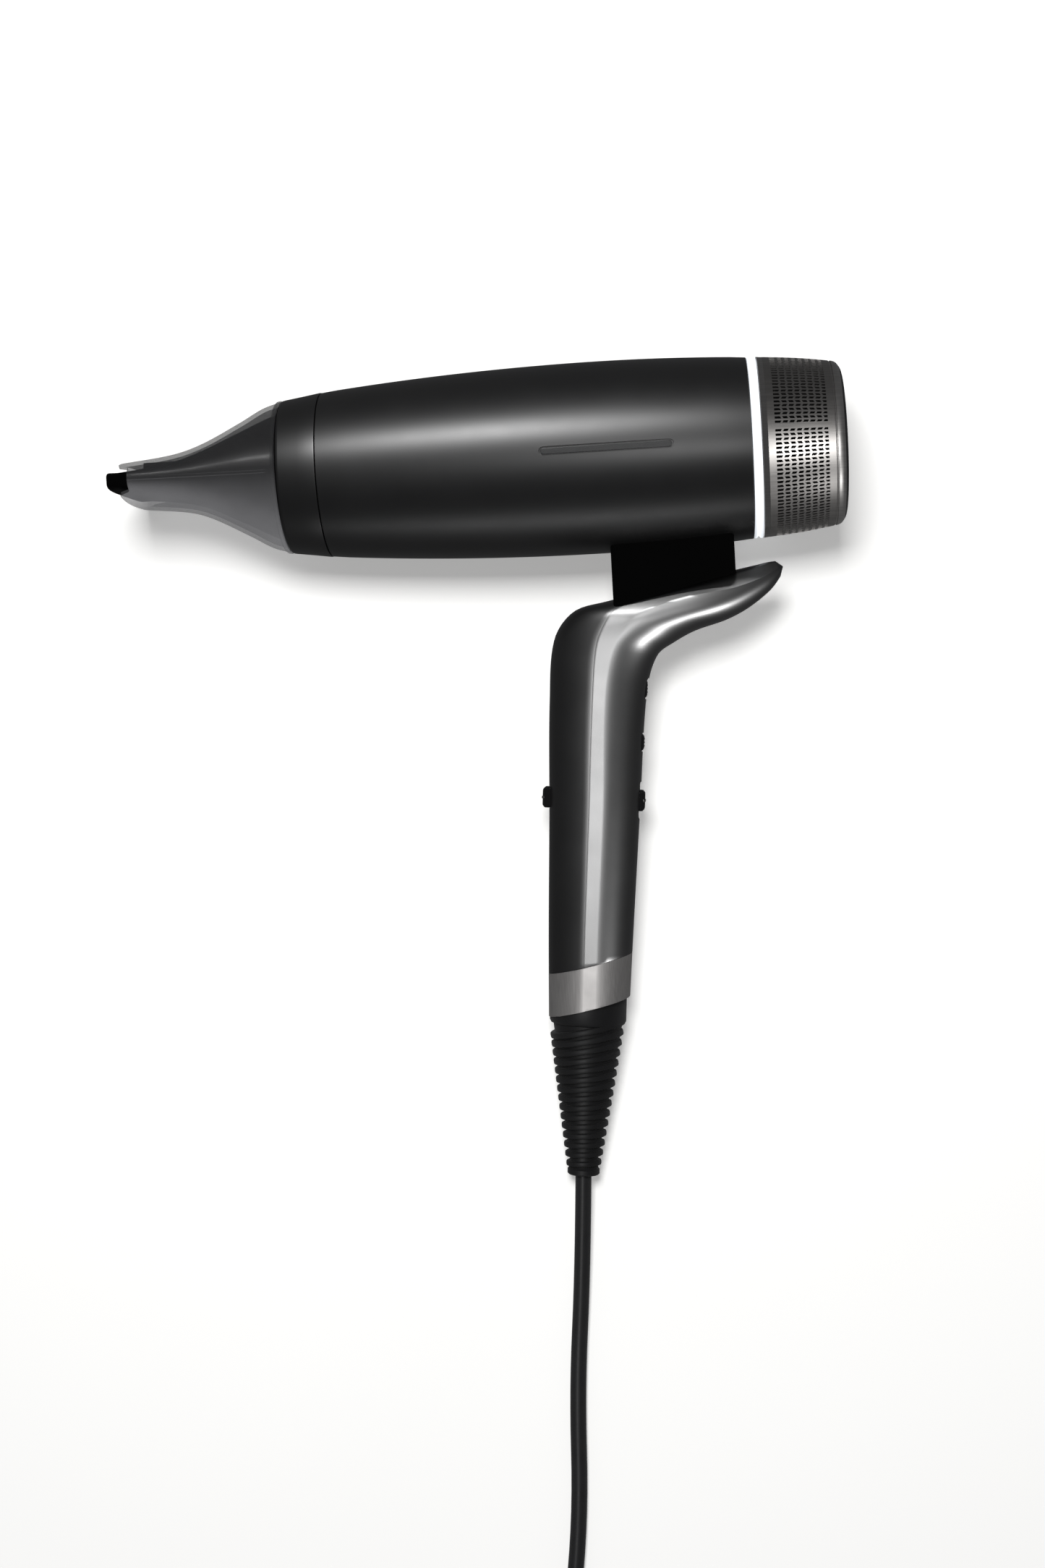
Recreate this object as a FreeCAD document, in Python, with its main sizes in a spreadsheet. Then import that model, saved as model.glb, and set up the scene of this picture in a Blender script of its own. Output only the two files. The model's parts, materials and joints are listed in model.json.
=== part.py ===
"""Hair dryer with nozzle, clip-off rear filter, lit ring, handle controls and mains lead.

The dryer's own frame has its origin on the barrel's axis above the handle, X along the
barrel towards the air inlet, Y up from the handle to the barrel, and Z out of its side.
It lies on its side: REST turns that frame onto the surface that it lies on.
"""

import FreeCAD, Part
import math
import os
import re

import Sketcher
from FreeCAD import Placement, Rotation, Vector

SIZES = {
    # how it lies
    "rest_roll": 5.833,
    "rest_pitch": -1.1104,
    "rest_along": 77.406,
    "rest_across": 124.311,
    "rest_height": 38.714,
    # barrel
    "wall": 2.2,
    "barrel_radius": 37.9,
    "barrel_widest": -31.5,
    "barrel_front": -138.7,
    "barrel_front_radius": 32.8,
    "front_arc": 1123.0,
    "barrel_rear": 30.2,
    "barrel_rear_radius": 35.7,
    "rear_arc": 867.0,
    "collar_front": -154.8,
    "collar_radius": 30.5,
    "collar_bore": 28.3,
    "badge_middle": -25.5,
    "badge_length": 51.8,
    "badge_height": 3.5,
    "light_front": 30.4,
    "light_rear": 33.8,
    "light_radius": 35.6,
    "seat_bore": 31.3,
    # inlet filter
    "filter_front": 34.1,
    "filter_radius": 35.5,
    "filter_rear": 62.0,
    "filter_rear_radius": 32.3,
    "rear_trim_end": 65.8,
    "rear_face": 66.9,
    "slots_around": 30,
    # nozzle
    "nozzle_base": -155.1,
    "nozzle_tip": -217.2,
    "nozzle_wall": 1.6,
    "duct_tip": -221.7,
    "duct_gap": 5.4,
    # fan and heater
    "motor_radius": 15.0,
    "motor_front": -66.0,
    "motor_rear": -26.0,
    "shaft_radius": 1.5,
    "fan_front": -20.0,
    "fan_rear": 4.0,
    "fan_radius": 26.6,
    "fan_blades": 11,
    "stator_vanes": 7,
    "duct_bore": 27.3,
    "duct_wall": 1.4,
    "heater_front": -134.0,
    "heater_rear": -72.0,
    "heater_radius": 21.8,
    "heater_turns": 8,
    "sleeve_radius": 28.2,
    # handle
    "handle_foot_along": -45.9,
    "handle_foot_down": -221.0,
    "handle_lean": 4.75,
    "handle_wall": 2.2,
    "neck_front": -26.7,
    "neck_rear": 22.0,
    "neck_half": 13.4,
    "band_slope": 0.2,
    "band_top": -204.9,
    "band_bottom": -222.2,
    # controls, measured up the handle from its foot
    "cool_at": 85.8,
    "slider_at": 85.5,
    "speed_at": 108.8,
    "heat_at": 130.3,
    "control_play": 0.3,
    # strain relief and lead
    "cord_radius": 3.25,
    "relief_radius": 14.9,
    "relief_end_radius": 6.4,
    "relief_length": 66.4,
    "relief_ribs": 15,
    "rib_pitch": 3.9,
    "coil_radius": 36.0,
    "coil_width": 19.5,
    "coil_height": 26.0,
    "coil_lift": 1.0,
    "coil_along": 52.5,
    "coil_across": -405.0,
    "tail_length": 42.5,
    "plug_beyond": 58.0,
    "plug_aside": -42.5,
    "tie_thickness": 0.8,
    "plug_width": 35.3,
    "plug_height": 26.0,
    "pin_radius": 2.4,
    "pin_length": 19.0,
    "pin_spacing": 19.0,
}

ORIGIN = Placement()
BODIES = {}

doc = FreeCAD.newDocument("HairDryer")
sheet = doc.addObject("Spreadsheet::Sheet", "Sizes")
for row, (alias, number) in enumerate(SIZES.items(), start=1):
    sheet.set(f"A{row}", alias)
    sheet.set(f"B{row}", str(number))
    sheet.setAlias(f"B{row}", alias)
doc.recompute()


# ------------------------------------------------------------------ helpers


def size(expression):
    """Number that an expression in the sheet's names stands for."""
    return float(sheet.evalExpression(str(expression)))


def bound(expression):
    """The same expression with each name pointing at the sheet."""
    return re.sub(
        r"[a-z][a-z_]+",
        lambda word: "Sizes." + word.group() if word.group() in SIZES else word.group(),
        str(expression),
    )


def keep(thing, label, local=ORIGIN):
    """Registers a finished sub-part and lays it down with the rest of the dryer."""
    thing.Label = label
    thing.Placement = REST.multiply(local).multiply(thing.Placement)
    BODIES[label] = thing
    return thing


def place(thing, label, placement):
    """Registers a finished sub-part that lies on the surface beside the dryer."""
    thing.Label = label
    thing.Placement = placement
    BODIES[label] = thing
    return thing


def arc_edge(start, end, radius):
    """Arc from start to end, counter-clockwise where radius is positive."""
    chord = end - start
    half = chord.Length / 2
    side = Vector(-chord.y, chord.x, 0).normalize()
    reach = math.sqrt(radius * radius - half * half)
    centre = (start + end) * 0.5 + side * math.copysign(reach, radius)
    circle = Part.Circle(centre, Vector(0, 0, 1), abs(radius))
    first, last = (start, end) if radius > 0 else (end, start)
    return Part.ArcOfCircle(circle, circle.parameter(first), circle.parameter(last))


def outline(body, role, corners, offset=None):
    """Closed, fully driven sketch on one of the body's origin planes.

    Each corner is (across, up), or (across, up, radius) where an arc leads to the next
    corner. All are expressions in the sheet's names.
    """
    plane = [item for item in body.Origin.OriginFeatures if item.Role == role][0]
    sketch = body.newObject("Sketcher::SketchObject", body.Name + "_sketch")
    sketch.AttachmentSupport = [(plane, "")]
    sketch.MapMode = "FlatFace"
    if offset is not None:
        sketch.setExpression("AttachmentOffset.Base.z", bound(offset))
    points = [Vector(size(corner[0]), size(corner[1]), 0) for corner in corners]
    ends = []
    for number, corner in enumerate(corners):
        start, end = points[number], points[(number + 1) % len(points)]
        if len(corner) == 3:
            radius = size(corner[2])
            sketch.addGeometry(arc_edge(start, end, radius), False)
            ends.append((1, 2) if radius > 0 else (2, 1))
        else:
            sketch.addGeometry(Part.LineSegment(start, end), False)
            ends.append((1, 2))
    for number in range(len(corners)):
        after = (number + 1) % len(corners)
        sketch.addConstraint(
            Sketcher.Constraint("Coincident", number, ends[number][1], after, ends[after][0])
        )
    for number, corner in enumerate(corners):
        for kind, expression, value in zip(
            ("DistanceX", "DistanceY"), corner, (points[number].x, points[number].y)
        ):
            drive(sketch, (kind, -1, 1, number, ends[number][0], value), expression)
        if len(corner) == 3:
            radius = size(corner[2])
            sign = "" if radius > 0 else "-"
            drive(sketch, ("Radius", number, abs(radius)), f"{sign}({corner[2]})")
    return sketch


def drive(sketch, constraint, expression):
    """Adds a constraint whose value follows an expression."""
    index = sketch.addConstraint(Sketcher.Constraint(*constraint))
    if re.search("[a-z]", str(expression)):
        sketch.setExpression(f"Constraints[{index}]", bound(expression))


def new_body(label):
    """Empty body for one sub-part."""
    body = doc.addObject("PartDesign::Body", label)
    body.Label = label
    return body


def turned(label, corners, role="XY_Plane", axis="H_Axis", angle=360):
    """Body of revolution from its half section, about the X axis unless told otherwise."""
    body = new_body(label)
    sketch = outline(body, role, corners)
    turn = body.newObject("PartDesign::Revolution", label + "_turn")
    turn.Profile = sketch
    turn.ReferenceAxis = (sketch, [axis])
    turn.Angle = angle
    turn.Midplane = angle < 360
    return body


def prism(label, role, corners, length, offset=None, midplane=True):
    """Body padded from an outline on one of the origin planes."""
    body = new_body(label)
    pad = body.newObject("PartDesign::Pad", label + "_pad")
    pad.Profile = outline(body, role, corners, offset)
    pad.setExpression("Length", bound(length))
    pad.Midplane = midplane
    return body


def rectangle(left, right, low, high):
    """Corners of a rectangle."""
    return [(left, low), (right, low), (right, high), (left, high)]


def stadium(across, up, width, height):
    """Corners of a rounded slot that is wider than it is high."""
    left = f"{across}-({width})/2+({height})/2"
    right = f"{across}+({width})/2-({height})/2"
    low, high = f"{up}-({height})/2", f"{up}+({height})/2"
    round_end = f"({height})/2+0.0001"
    return [(left, low), (right, low, round_end), (right, high), (left, high, round_end)]


def rounded(body, label, edges, radius):
    """Fillet on chosen edges of a body's last feature."""
    doc.recompute()
    fillet = body.newObject("PartDesign::Fillet", label + "_fillet")
    fillet.Base = (body.Tip if body.Tip != fillet else fillet.BaseFeature, edges)
    fillet.setExpression("Radius", bound(radius))
    body.Tip = fillet
    return body


def repeated(body, feature, role, count, angle=360):
    """Polar pattern of a feature about one of the body's origin axes."""
    axis = [item for item in body.Origin.OriginFeatures if item.Role == role][0]
    pattern = body.newObject("PartDesign::PolarPattern", body.Name + "_pattern")
    pattern.Originals = [feature]
    pattern.Axis = (axis, [""])
    pattern.Angle = angle
    pattern.setExpression("Occurrences", bound(count))
    body.Tip = pattern
    return pattern


def cut(label, base, *tools):
    """Base without its tools."""
    result = base
    for number, tool in enumerate(tools):
        step = doc.addObject("Part::Cut", f"{label}_cut{number}")
        step.Base, step.Tool = result, tool
        result = step
    return result


def shared(label, first, second):
    """What two solids have in common."""
    common = doc.addObject("Part::Common", label + "_common")
    common.Base, common.Tool = first, second
    return common


def fused(label, shapes):
    """One solid of several that touch."""
    fusion = doc.addObject("Part::MultiFuse", label + "_fuse")
    fusion.Shapes = shapes
    return fusion


def grouped(label, shapes):
    """Several separate solids that make one node."""
    group = doc.addObject("Part::Compound", label + "_group")
    group.Links = shapes
    return group


def cylinder(name, radius, length, start, direction=Vector(1, 0, 0)):
    """Round bar from a start point along a direction."""
    bar = doc.addObject("Part::Cylinder", name)
    bar.setExpression("Radius", bound(radius))
    bar.setExpression("Height", bound(length))
    bar.Placement = Placement(start, Rotation(Vector(0, 0, 1), direction))
    return bar


def block(name, low, high):
    """Box between two corners."""
    box = doc.addObject("Part::Box", name)
    for axis, number in zip(("Length", "Width", "Height"), high - low):
        setattr(box, axis, number)
    box.Placement = Placement(low, Rotation())
    return box


def ring(name, inner, outer, front, rear):
    """Plain ring about the barrel's axis."""
    return turned(name, rectangle(front, rear, inner, outer))


def oval(first, last, half, squareness, count=16):
    """Closed oval through two points of the middle plane, half thick to each side of it."""
    middle = (first + last) * 0.5
    reach = (first - last) * 0.5
    points = []
    for step in range(count):
        angle = 2 * math.pi * step / count
        across = math.copysign(abs(math.cos(angle)) ** (2 / squareness), math.cos(angle))
        out = math.copysign(abs(math.sin(angle)) ** (2 / squareness), math.sin(angle))
        points.append(middle + reach * across + Vector(0, 0, half * out))
    curve = Part.BSplineCurve()
    curve.interpolate(points, PeriodicFlag=True)
    return Part.Wire(curve.toShape())


def loft(name, sections):
    """Free-form solid through ovals: first point, last point, half thickness, squareness."""
    solid = doc.addObject("Part::Feature", name)
    solid.Shape = Part.makeLoft([oval(*section) for section in sections], True, True)
    return solid


REST = Placement(
    Vector(size("rest_along"), size("rest_across"), size("rest_height")),
    Rotation(Vector(0, 1, 0), size("rest_pitch")).multiply(
        Rotation(Vector(1, 0, 0), size("rest_roll"))
    ),
)
HANDLE = Placement(
    Vector(size("handle_foot_along"), size("handle_foot_down"), 0),
    Rotation(Vector(0, 0, 1), -size("handle_lean")),
)


# ------------------------------------------------------------------- barrel


def barrel_corners(inset="0"):
    """Half section of the barrel, inset from its outer skin."""
    return [
        ("barrel_front", "0"),
        ("barrel_rear", "0"),
        ("barrel_rear", f"barrel_rear_radius-{inset}", f"rear_arc-{inset}"),
        ("barrel_widest", f"barrel_radius-{inset}", f"front_arc-{inset}"),
        ("barrel_front", f"barrel_front_radius-{inset}"),
    ]


def barrel():
    """Main casing, its collar, badge and lit ring."""
    outer = turned("barrel_outer", barrel_corners())
    inner = turned("barrel_inner", barrel_corners("wall"))
    badge_slot = prism(
        "badge_slot",
        "XY_Plane",
        stadium("badge_middle", "0", "badge_length", "badge_height"),
        "20",
        "28",
        False,
    )
    wire_way = prism(
        "wire_way", "XZ_Plane", rectangle("-18", "14", "-8", "8"), "50", midplane=False
    )
    hollow = cut("barrel_hollow", outer, inner)
    keep(cut("barrel_shell", hollow, badge_slot, wire_way), "barrel_shell")

    badge_core = turned("badge_core", barrel_corners("0.9"))
    badge_face = turned("badge_face", barrel_corners("0.2"))
    badge_plug = prism(
        "badge_plug",
        "XY_Plane",
        stadium("badge_middle", "0", "badge_length-0.3", "badge_height-0.3"),
        "20",
        "28",
        False,
    )
    plate = cut("badge_plate", badge_face, badge_core)
    keep(shared("badge_inlay", plate, badge_plug), "badge_inlay")

    collar = turned(
        "front_collar",
        [
            ("collar_front", "collar_bore"),
            ("barrel_front+6", "collar_bore"),
            ("barrel_front+6", "barrel_front_radius-wall-0.2"),
            ("barrel_front", "barrel_front_radius-wall-0.2"),
            ("barrel_front", "barrel_front_radius"),
            ("collar_front", "collar_radius"),
        ],
    )
    keep(collar, "front_collar")
    light = turned(
        "light_ring",
        [
            ("light_front", "light_radius-2.4"),
            ("light_rear", "light_radius-2.4"),
            ("light_rear", "light_radius"),
            ("(light_front+light_rear)/2", "light_radius-1.2"),
            ("light_front", "light_radius+0.1"),
        ],
    )
    keep(light, "light_ring")
    keep(ring("light_board", "27.6", "30.9", "17.6", "19.2"), "light_board")
    seat = turned(
        "filter_seat",
        [
            ("20", "seat_bore"),
            ("33.6", "seat_bore"),
            ("33.6", "light_radius-2.6"),
            ("26", "light_radius-2.6"),
            ("26", "barrel_rear_radius-wall-0.2"),
            ("20", "barrel_rear_radius-wall-0.2"),
        ],
    )
    keep(seat, "filter_seat")
    return outer


def outlet_grille():
    """Guard in front of the heater: a rim, a hub and spokes."""
    body = turned("outlet_grille", rectangle("-146", "-143", "25.4", "collar_bore-0.1"))
    doc.recompute()
    hub = body.newObject("PartDesign::Pad", "grille_hub")
    hub.Profile = outline(body, "YZ_Plane", stadium("0", "0", "51.4", "1.6"), "-146")
    hub.Length = 3
    repeated(body, hub, "X_Axis", "5")
    keep(body, "outlet_grille")


# ------------------------------------------------------------ inlet filter


def inlet_filter():
    """Clip-off filter: slotted sleeve, trims, fine mesh and rear cap."""
    slope = "(filter_radius-filter_rear_radius)/(filter_rear-filter_front)"
    sleeve = turned(
        "filter_sleeve",
        [
            ("filter_front+2.3", f"filter_radius-2.3*{slope}-1.2"),
            ("filter_rear", "filter_rear_radius-1.2"),
            ("filter_rear", "filter_rear_radius"),
            ("filter_front+2.3", f"filter_radius-2.3*{slope}"),
        ],
    )
    doc.recompute()
    pocket = sleeve.newObject("PartDesign::Pocket", "sleeve_slot")
    pocket.Profile = outline(
        sleeve,
        "XY_Plane",
        stadium("(filter_front+2.3+filter_rear)/2", "0", "20", "2.4"),
    )
    pocket.Type = 1
    pocket.Reversed = True
    repeated(sleeve, pocket, "X_Axis", "slots_around")
    keep(sleeve, "filter_sleeve")

    front = turned(
        "filter_front_trim",
        [
            ("22.5", "seat_bore-1.7"),
            ("filter_front+2.2", "seat_bore-1.7"),
            ("filter_front+2.2", f"filter_radius-2.2*{slope}"),
            ("filter_front", "filter_radius"),
            ("filter_front", "seat_bore-0.3"),
            ("22.5", "seat_bore-0.3"),
        ],
    )
    keep(front, "filter_front_trim")
    rear = turned(
        "filter_rear_trim",
        [
            ("filter_rear+0.1", "filter_rear_radius-3.4"),
            ("rear_trim_end", "filter_rear_radius-3.4"),
            ("rear_trim_end", "filter_rear_radius-0.3"),
            ("filter_rear+0.1", "filter_rear_radius+0.1"),
        ],
    )
    keep(rear, "filter_rear_trim")
    mesh = turned(
        "filter_mesh",
        [
            ("filter_front+2.4", "filter_radius-2.4"),
            ("filter_rear", "filter_rear_radius-2.0"),
            ("filter_rear", "filter_rear_radius-1.5"),
            ("filter_front+2.4", "filter_radius-1.9"),
        ],
    )
    keep(mesh, "filter_mesh")
    cap = turned(
        "rear_cap",
        [
            ("rear_trim_end-2", "0"),
            ("rear_face", "0"),
            ("rear_face", "filter_rear_radius-3.6", "3.2"),
            ("rear_trim_end+0.1", "filter_rear_radius-0.7"),
            ("rear_trim_end+0.1", "filter_rear_radius-3.6"),
            ("rear_trim_end-2", "filter_rear_radius-3.6"),
        ],
    )
    keep(cap, "rear_cap")


# ------------------------------------------------------------------ nozzle


def flat_section(along, up, wide):
    """Oval across the nozzle: up to each side in Y and wide in Z, squarer as it flattens."""
    return (Vector(along, up, 0), Vector(along, -up, 0), wide, 2 + 0.8 * (1 - up / wide))


NOZZLE_SHAPE = [
    # share of the length, half height, half width
    (0.0, 30.3, 30.3),
    (0.12, 27.9, 30.6),
    (0.26, 22.9, 31.1),
    (0.5, 14.9, 32.4),
    (0.68, 11.1, 33.4),
    (1.0, 8.4, 34.8),
]


def nozzle():
    """Concentrator: outer shell round a flat inner duct, on a coupling ring."""
    base, tip = size("nozzle_base"), size("nozzle_tip")
    wall = size("nozzle_wall")
    stations = [(base + share * (tip - base), up, wide) for share, up, wide in NOZZLE_SHAPE]
    outer = loft("nozzle_outer", [flat_section(*station) for station in stations])
    inner = loft(
        "nozzle_inner",
        [
            flat_section(along + end, up - wall, wide - wall)
            for (along, up, wide), end in zip(stations, (0.5, 0, 0, 0, 0, -0.5))
        ],
    )
    notch = prism(
        "nozzle_notch",
        "XY_Plane",
        [
            ("nozzle_tip-1", "-6.2"),
            ("nozzle_tip+4.6", "-5.2"),
            ("nozzle_tip+4.6", "5.2"),
            ("nozzle_tip-1", "6.2"),
        ],
        "90",
    )
    keep(cut("nozzle_shell", outer, inner, notch), "nozzle_outer_shell")

    duct_wall = 1.2
    gap = size("duct_gap") / 2
    duct_end = size("duct_tip")
    slim = [(base + 3.5, 25.5, 25.5), (base - 3.5, 24.8, 25.6), (base - 17, 18.0, 27.6)]
    slim += [(base - 33, 10.2, 29.0), (base - 45, 6.4, 30.0)]
    slim += [(tip, gap + duct_wall, 31.0), (duct_end, gap + duct_wall, 31.0)]
    tube = loft("duct_outer", [flat_section(*station) for station in slim])
    bore = loft(
        "duct_inner",
        [
            flat_section(along + end, up - duct_wall, wide - duct_wall)
            for (along, up, wide), end in zip(slim, (0.5, 0, 0, 0, 0, 0, -0.5))
        ],
    )
    keep(cut("nozzle_duct", tube, bore), "nozzle_inner_duct")
    coupling = ring(
        "nozzle_coupling_ring", "26.3", "collar_bore-0.7", "nozzle_base-1", "nozzle_base+7"
    )
    keep(coupling, "nozzle_coupling_ring")


# --------------------------------------------------------- fan and heater


def fan():
    """Motor, shaft, impeller and the duct with its straightening vanes."""
    duct = ring("fan_duct", "duct_bore", "duct_bore+duct_wall", "motor_front", "fan_rear+6")
    doc.recompute()
    vane = duct.newObject("PartDesign::Pad", "stator_vane")
    vane.Profile = outline(
        duct,
        "XY_Plane",
        [
            ("motor_front+4", "motor_radius+0.1"),
            ("motor_rear-4", "motor_radius+0.1"),
            ("motor_rear-2", "duct_bore+0.4"),
            ("motor_front+2", "duct_bore+0.4"),
        ],
    )
    vane.Length = 1.2
    vane.Midplane = True
    repeated(duct, vane, "X_Axis", "stator_vanes")
    keep(duct, "fan_duct")

    can = turned(
        "motor_can",
        [
            ("motor_front", "shaft_radius+1.6"),
            ("motor_front+1.2", "shaft_radius+1.6"),
            ("motor_front+1.2", "motor_radius-1.2"),
            ("motor_rear-1.2", "motor_radius-1.2"),
            ("motor_rear-1.2", "shaft_radius+1.6"),
            ("motor_rear", "shaft_radius+1.6"),
            ("motor_rear", "motor_radius"),
            ("motor_front", "motor_radius"),
        ],
    )
    keep(can, "motor_can")
    stator = ring(
        "motor_stator", "9.4", "motor_radius-1.3", "motor_front+6", "motor_rear-6"
    )
    keep(stator, "motor_stator")
    bearings = [
        ring(name, "shaft_radius+0.05", "shaft_radius+1.5", start, f"{start}+3")
        for name, start in (
            ("front_bearing", "motor_front+0.2"),
            ("rear_bearing", "motor_rear-3.2"),
        )
    ]
    keep(grouped("motor_bearings", bearings), "motor_bearings")
    keep(
        ring("motor_rotor", "shaft_radius+0.02", "9.0", "motor_front+7", "motor_rear-7"),
        "motor_rotor",
    )
    keep(ring("motor_shaft", "0", "shaft_radius", "motor_front-2", "fan_rear"), "motor_shaft")

    hub = turned(
        "impeller",
        [
            ("fan_front", "shaft_radius+0.02"),
            ("fan_rear-1", "shaft_radius+0.02"),
            ("fan_rear-1", "7"),
            ("fan_rear-8", "11.5", "-30"),
            ("fan_front", "14.4"),
        ],
    )
    doc.recompute()
    blade = hub.newObject("PartDesign::Pad", "impeller_blade")
    blade.Profile = outline(
        hub,
        "XY_Plane",
        [
            ("fan_front+1.5", "12"),
            ("fan_rear-7", "10"),
            ("fan_rear-5", "fan_radius-0.4"),
            ("fan_front+2.5", "fan_radius"),
        ],
    )
    blade.Length = 1.1
    blade.Midplane = True
    repeated(hub, blade, "X_Axis", "fan_blades")
    keep(hub, "impeller")
    keep(
        turned(
            "impeller_cap",
            [
                ("fan_rear+0.1", "0"),
                ("fan_rear+5", "0"),
                ("fan_rear+3", "4.4"),
                ("fan_rear+0.1", "6.4"),
            ],
        ),
        "impeller_cap",
    )
    seals = [
        ring(name, "duct_bore+duct_wall+0.1", outer, start, f"{start}+4")
        for name, start, outer in (
            ("front_seal", "motor_front+2", "barrel_radius-wall-1.4"),
            ("rear_seal", "0", "barrel_radius-wall-0.9"),
        )
    ]
    keep(grouped("duct_seals", seals), "duct_seals")


def heater():
    """Heating element: crossed mica boards, wire turns, sleeve and its safety switches."""
    boards = [
        prism(
            name,
            role,
            rectangle("heater_front", "heater_rear", "-heater_radius", "heater_radius"),
            "0.8",
        )
        for name, role in (("upright_board", "XY_Plane"), ("level_board", "XZ_Plane"))
    ]
    keep(fused("heater_frame", boards), "heater_frame")
    spread = (size("heater_rear") - size("heater_front") - 8) / (size("heater_turns") - 1)
    turns = []
    for number in range(int(size("heater_turns"))):
        wire = doc.addObject("Part::Torus", f"heater_turn{number}")
        wire.setExpression("Radius1", bound("heater_radius+1.3"))
        wire.Radius2 = 1.0
        along = size("heater_front") + 4 + number * spread
        wire.Placement = Placement(Vector(along, 0, 0), Rotation(Vector(0, 1, 0), 90))
        turns.append(wire)
    keep(grouped("heater_wire", turns), "heater_wire")
    keep(
        ring("heater_sleeve", "sleeve_radius-0.8", "sleeve_radius-0.1", "-142.6", "-70"),
        "heater_sleeve",
    )
    keep(
        cylinder("thermostat", "5", "3.6", Vector(-100, 9, 0.6), Vector(0, 0, 1)),
        "thermostat",
    )
    keep(
        cylinder("thermal_fuse", "1.6", "12", Vector(-106, -9, 2.4), Vector(1, 0, 0)),
        "thermal_fuse",
    )
    keep(
        block("ioniser_module", Vector(-96, 5, -14), Vector(-82, 15, -6)), "ioniser_module"
    )


# ------------------------------------------------------------------ handle


HANDLE_SHAPE = [
    # front or upper point, rear or lower point, half thickness
    ((-62.3, -232.0), (-30.4, -232.0), 15.4),
    ((-60.2, -190.0), (-26.0, -190.0), 15.8),
    ((-57.2, -140.0), (-20.6, -140.0), 16.2),
    ((-54.6, -95.0), (-15.6, -95.0), 16.4),
    ((-51.4, -71.0), (-10.6, -79.8), 16.4),
    ((-43.0, -60.4), (-3.0, -74.6), 16.2),
    ((-29.0, -57.0), (5.0, -70.8), 15.6),
    ((-4.0, -52.0), (17.5, -67.2), 13.6),
    ((15.0, -48.8), (26.5, -63.0), 10.8),
    ((30.0, -46.2), (35.4, -56.6), 7.4),
    ((38.6, -44.8), (40.0, -50.4), 4.2),
]


def handle_solid(name, inset, shape):
    """The handle's outer form, or the same form inset for its hollow."""
    sections = []
    for first, last, half in shape:
        start, end = Vector(*first, 0), Vector(*last, 0)
        inward = (end - start).normalize() * inset
        sections.append((start + inward, end - inward, half - inset, 2.25))
    return loft(name, sections)


def handle(barrel_outer):
    """Grip in a front and a rear shell, its neck, metal band and openings."""
    outer = handle_solid("handle_outer", 0.0, HANDLE_SHAPE)
    hollow = handle_solid("handle_hollow", size("handle_wall"), HANDLE_SHAPE[:-2])
    skin = cut("handle_skin", outer, hollow)
    level = "({height}+band_slope*({along}-handle_foot_along+15.6))"
    low_left = ("-80", level.format(height="band_bottom", along="-80"))
    low_right = ("0", level.format(height="band_bottom", along="0"))
    top_left = ("-80", level.format(height="band_top", along="-80"))
    top_right = ("0", level.format(height="band_top", along="0"))
    band_zone = prism("band_zone", "XY_Plane", [low_left, low_right, top_right, top_left], "60")
    below = prism(
        "below_band", "XY_Plane", [("-80", "-260"), ("0", "-260"), top_right, top_left], "60"
    )
    above = prism(
        "above_relief", "XY_Plane", [low_left, low_right, ("0", "-150"), ("-80", "-150")], "60"
    )
    keep(shared("metal_band", skin, band_zone), "metal_band")

    rear_zone = prism(
        "rear_zone",
        "XY_Plane",
        [
            ("-44.9", "-205"),
            ("-38.4", "-111"),
            ("-35.6", "-84", "-60"),
            ("-25.6", "-60.6", "-40"),
            ("21", "-50.2"),
            ("60", "-42"),
            ("60", "-240"),
            ("-47", "-240"),
        ],
        "60",
    )
    wire_hole = prism(
        "neck_wire_way", "XZ_Plane", rectangle("-16", "10", "-7", "7"), "31", "30", False
    )
    open_front = controls_opening("front")
    open_rear = controls_opening("rear")
    front_half = cut("front_half", skin, below, rear_zone, wire_hole, open_front)
    rear_half = cut("rear_half", skin, below, wire_hole, open_rear)
    keep(front_half, "handle_front_shell")
    keep(shared("rear_shell", rear_half, rear_zone), "handle_rear_shell")

    neck_tube = prism(
        "neck_tube",
        "XZ_Plane",
        rectangle("neck_front", "neck_rear", "-neck_half", "neck_half"),
        "44",
        "21",
        False,
    )
    neck_bore = prism(
        "neck_bore",
        "XZ_Plane",
        rectangle("neck_front+wall", "neck_rear-wall", "wall-neck_half", "neck_half-wall"),
        "44.2",
        "20.9",
        False,
    )
    neck = cut("neck_shell", neck_tube, outer, barrel_outer, neck_bore)
    keep(neck, "neck_shell")
    return above


CONTROLS = {
    # side, height up the handle, length, width, surface, rise
    "cool_shot_button": ("front", "cool_at", 8.4, 9.0, 18.9, 1.9),
    "power_slider": ("rear", "slider_at", 8.4, 9.0, 18.3, 2.2),
    "speed_button": ("rear", "speed_at", 7.0, 10.0, 19.2, 0.6),
    "heat_button": ("rear", "heat_at", 7.8, 10.0, 19.8, 0.6),
}
SLIDER_TRAVEL = 3.0


def controls_opening(side):
    """Every opening that the controls on one side of the handle come through."""
    openings = []
    for name, (face, height, length, width, surface, _) in CONTROLS.items():
        if face != side:
            continue
        play = size("control_play")
        reach = length / 2 + play + (SLIDER_TRAVEL if name == "power_slider" else 0)
        at = size(height)
        sign = 1 if face == "rear" else -1
        near, far = sorted((sign * (surface - 6), sign * (surface + 6)))
        hole = block(
            name + "_opening",
            Vector(near, at - reach, -width / 2 - play),
            Vector(far, at + reach, width / 2 + play),
        )
        openings.append(hole)
    group = grouped(side + "_openings", openings)
    group.Placement = HANDLE
    return group


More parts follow.
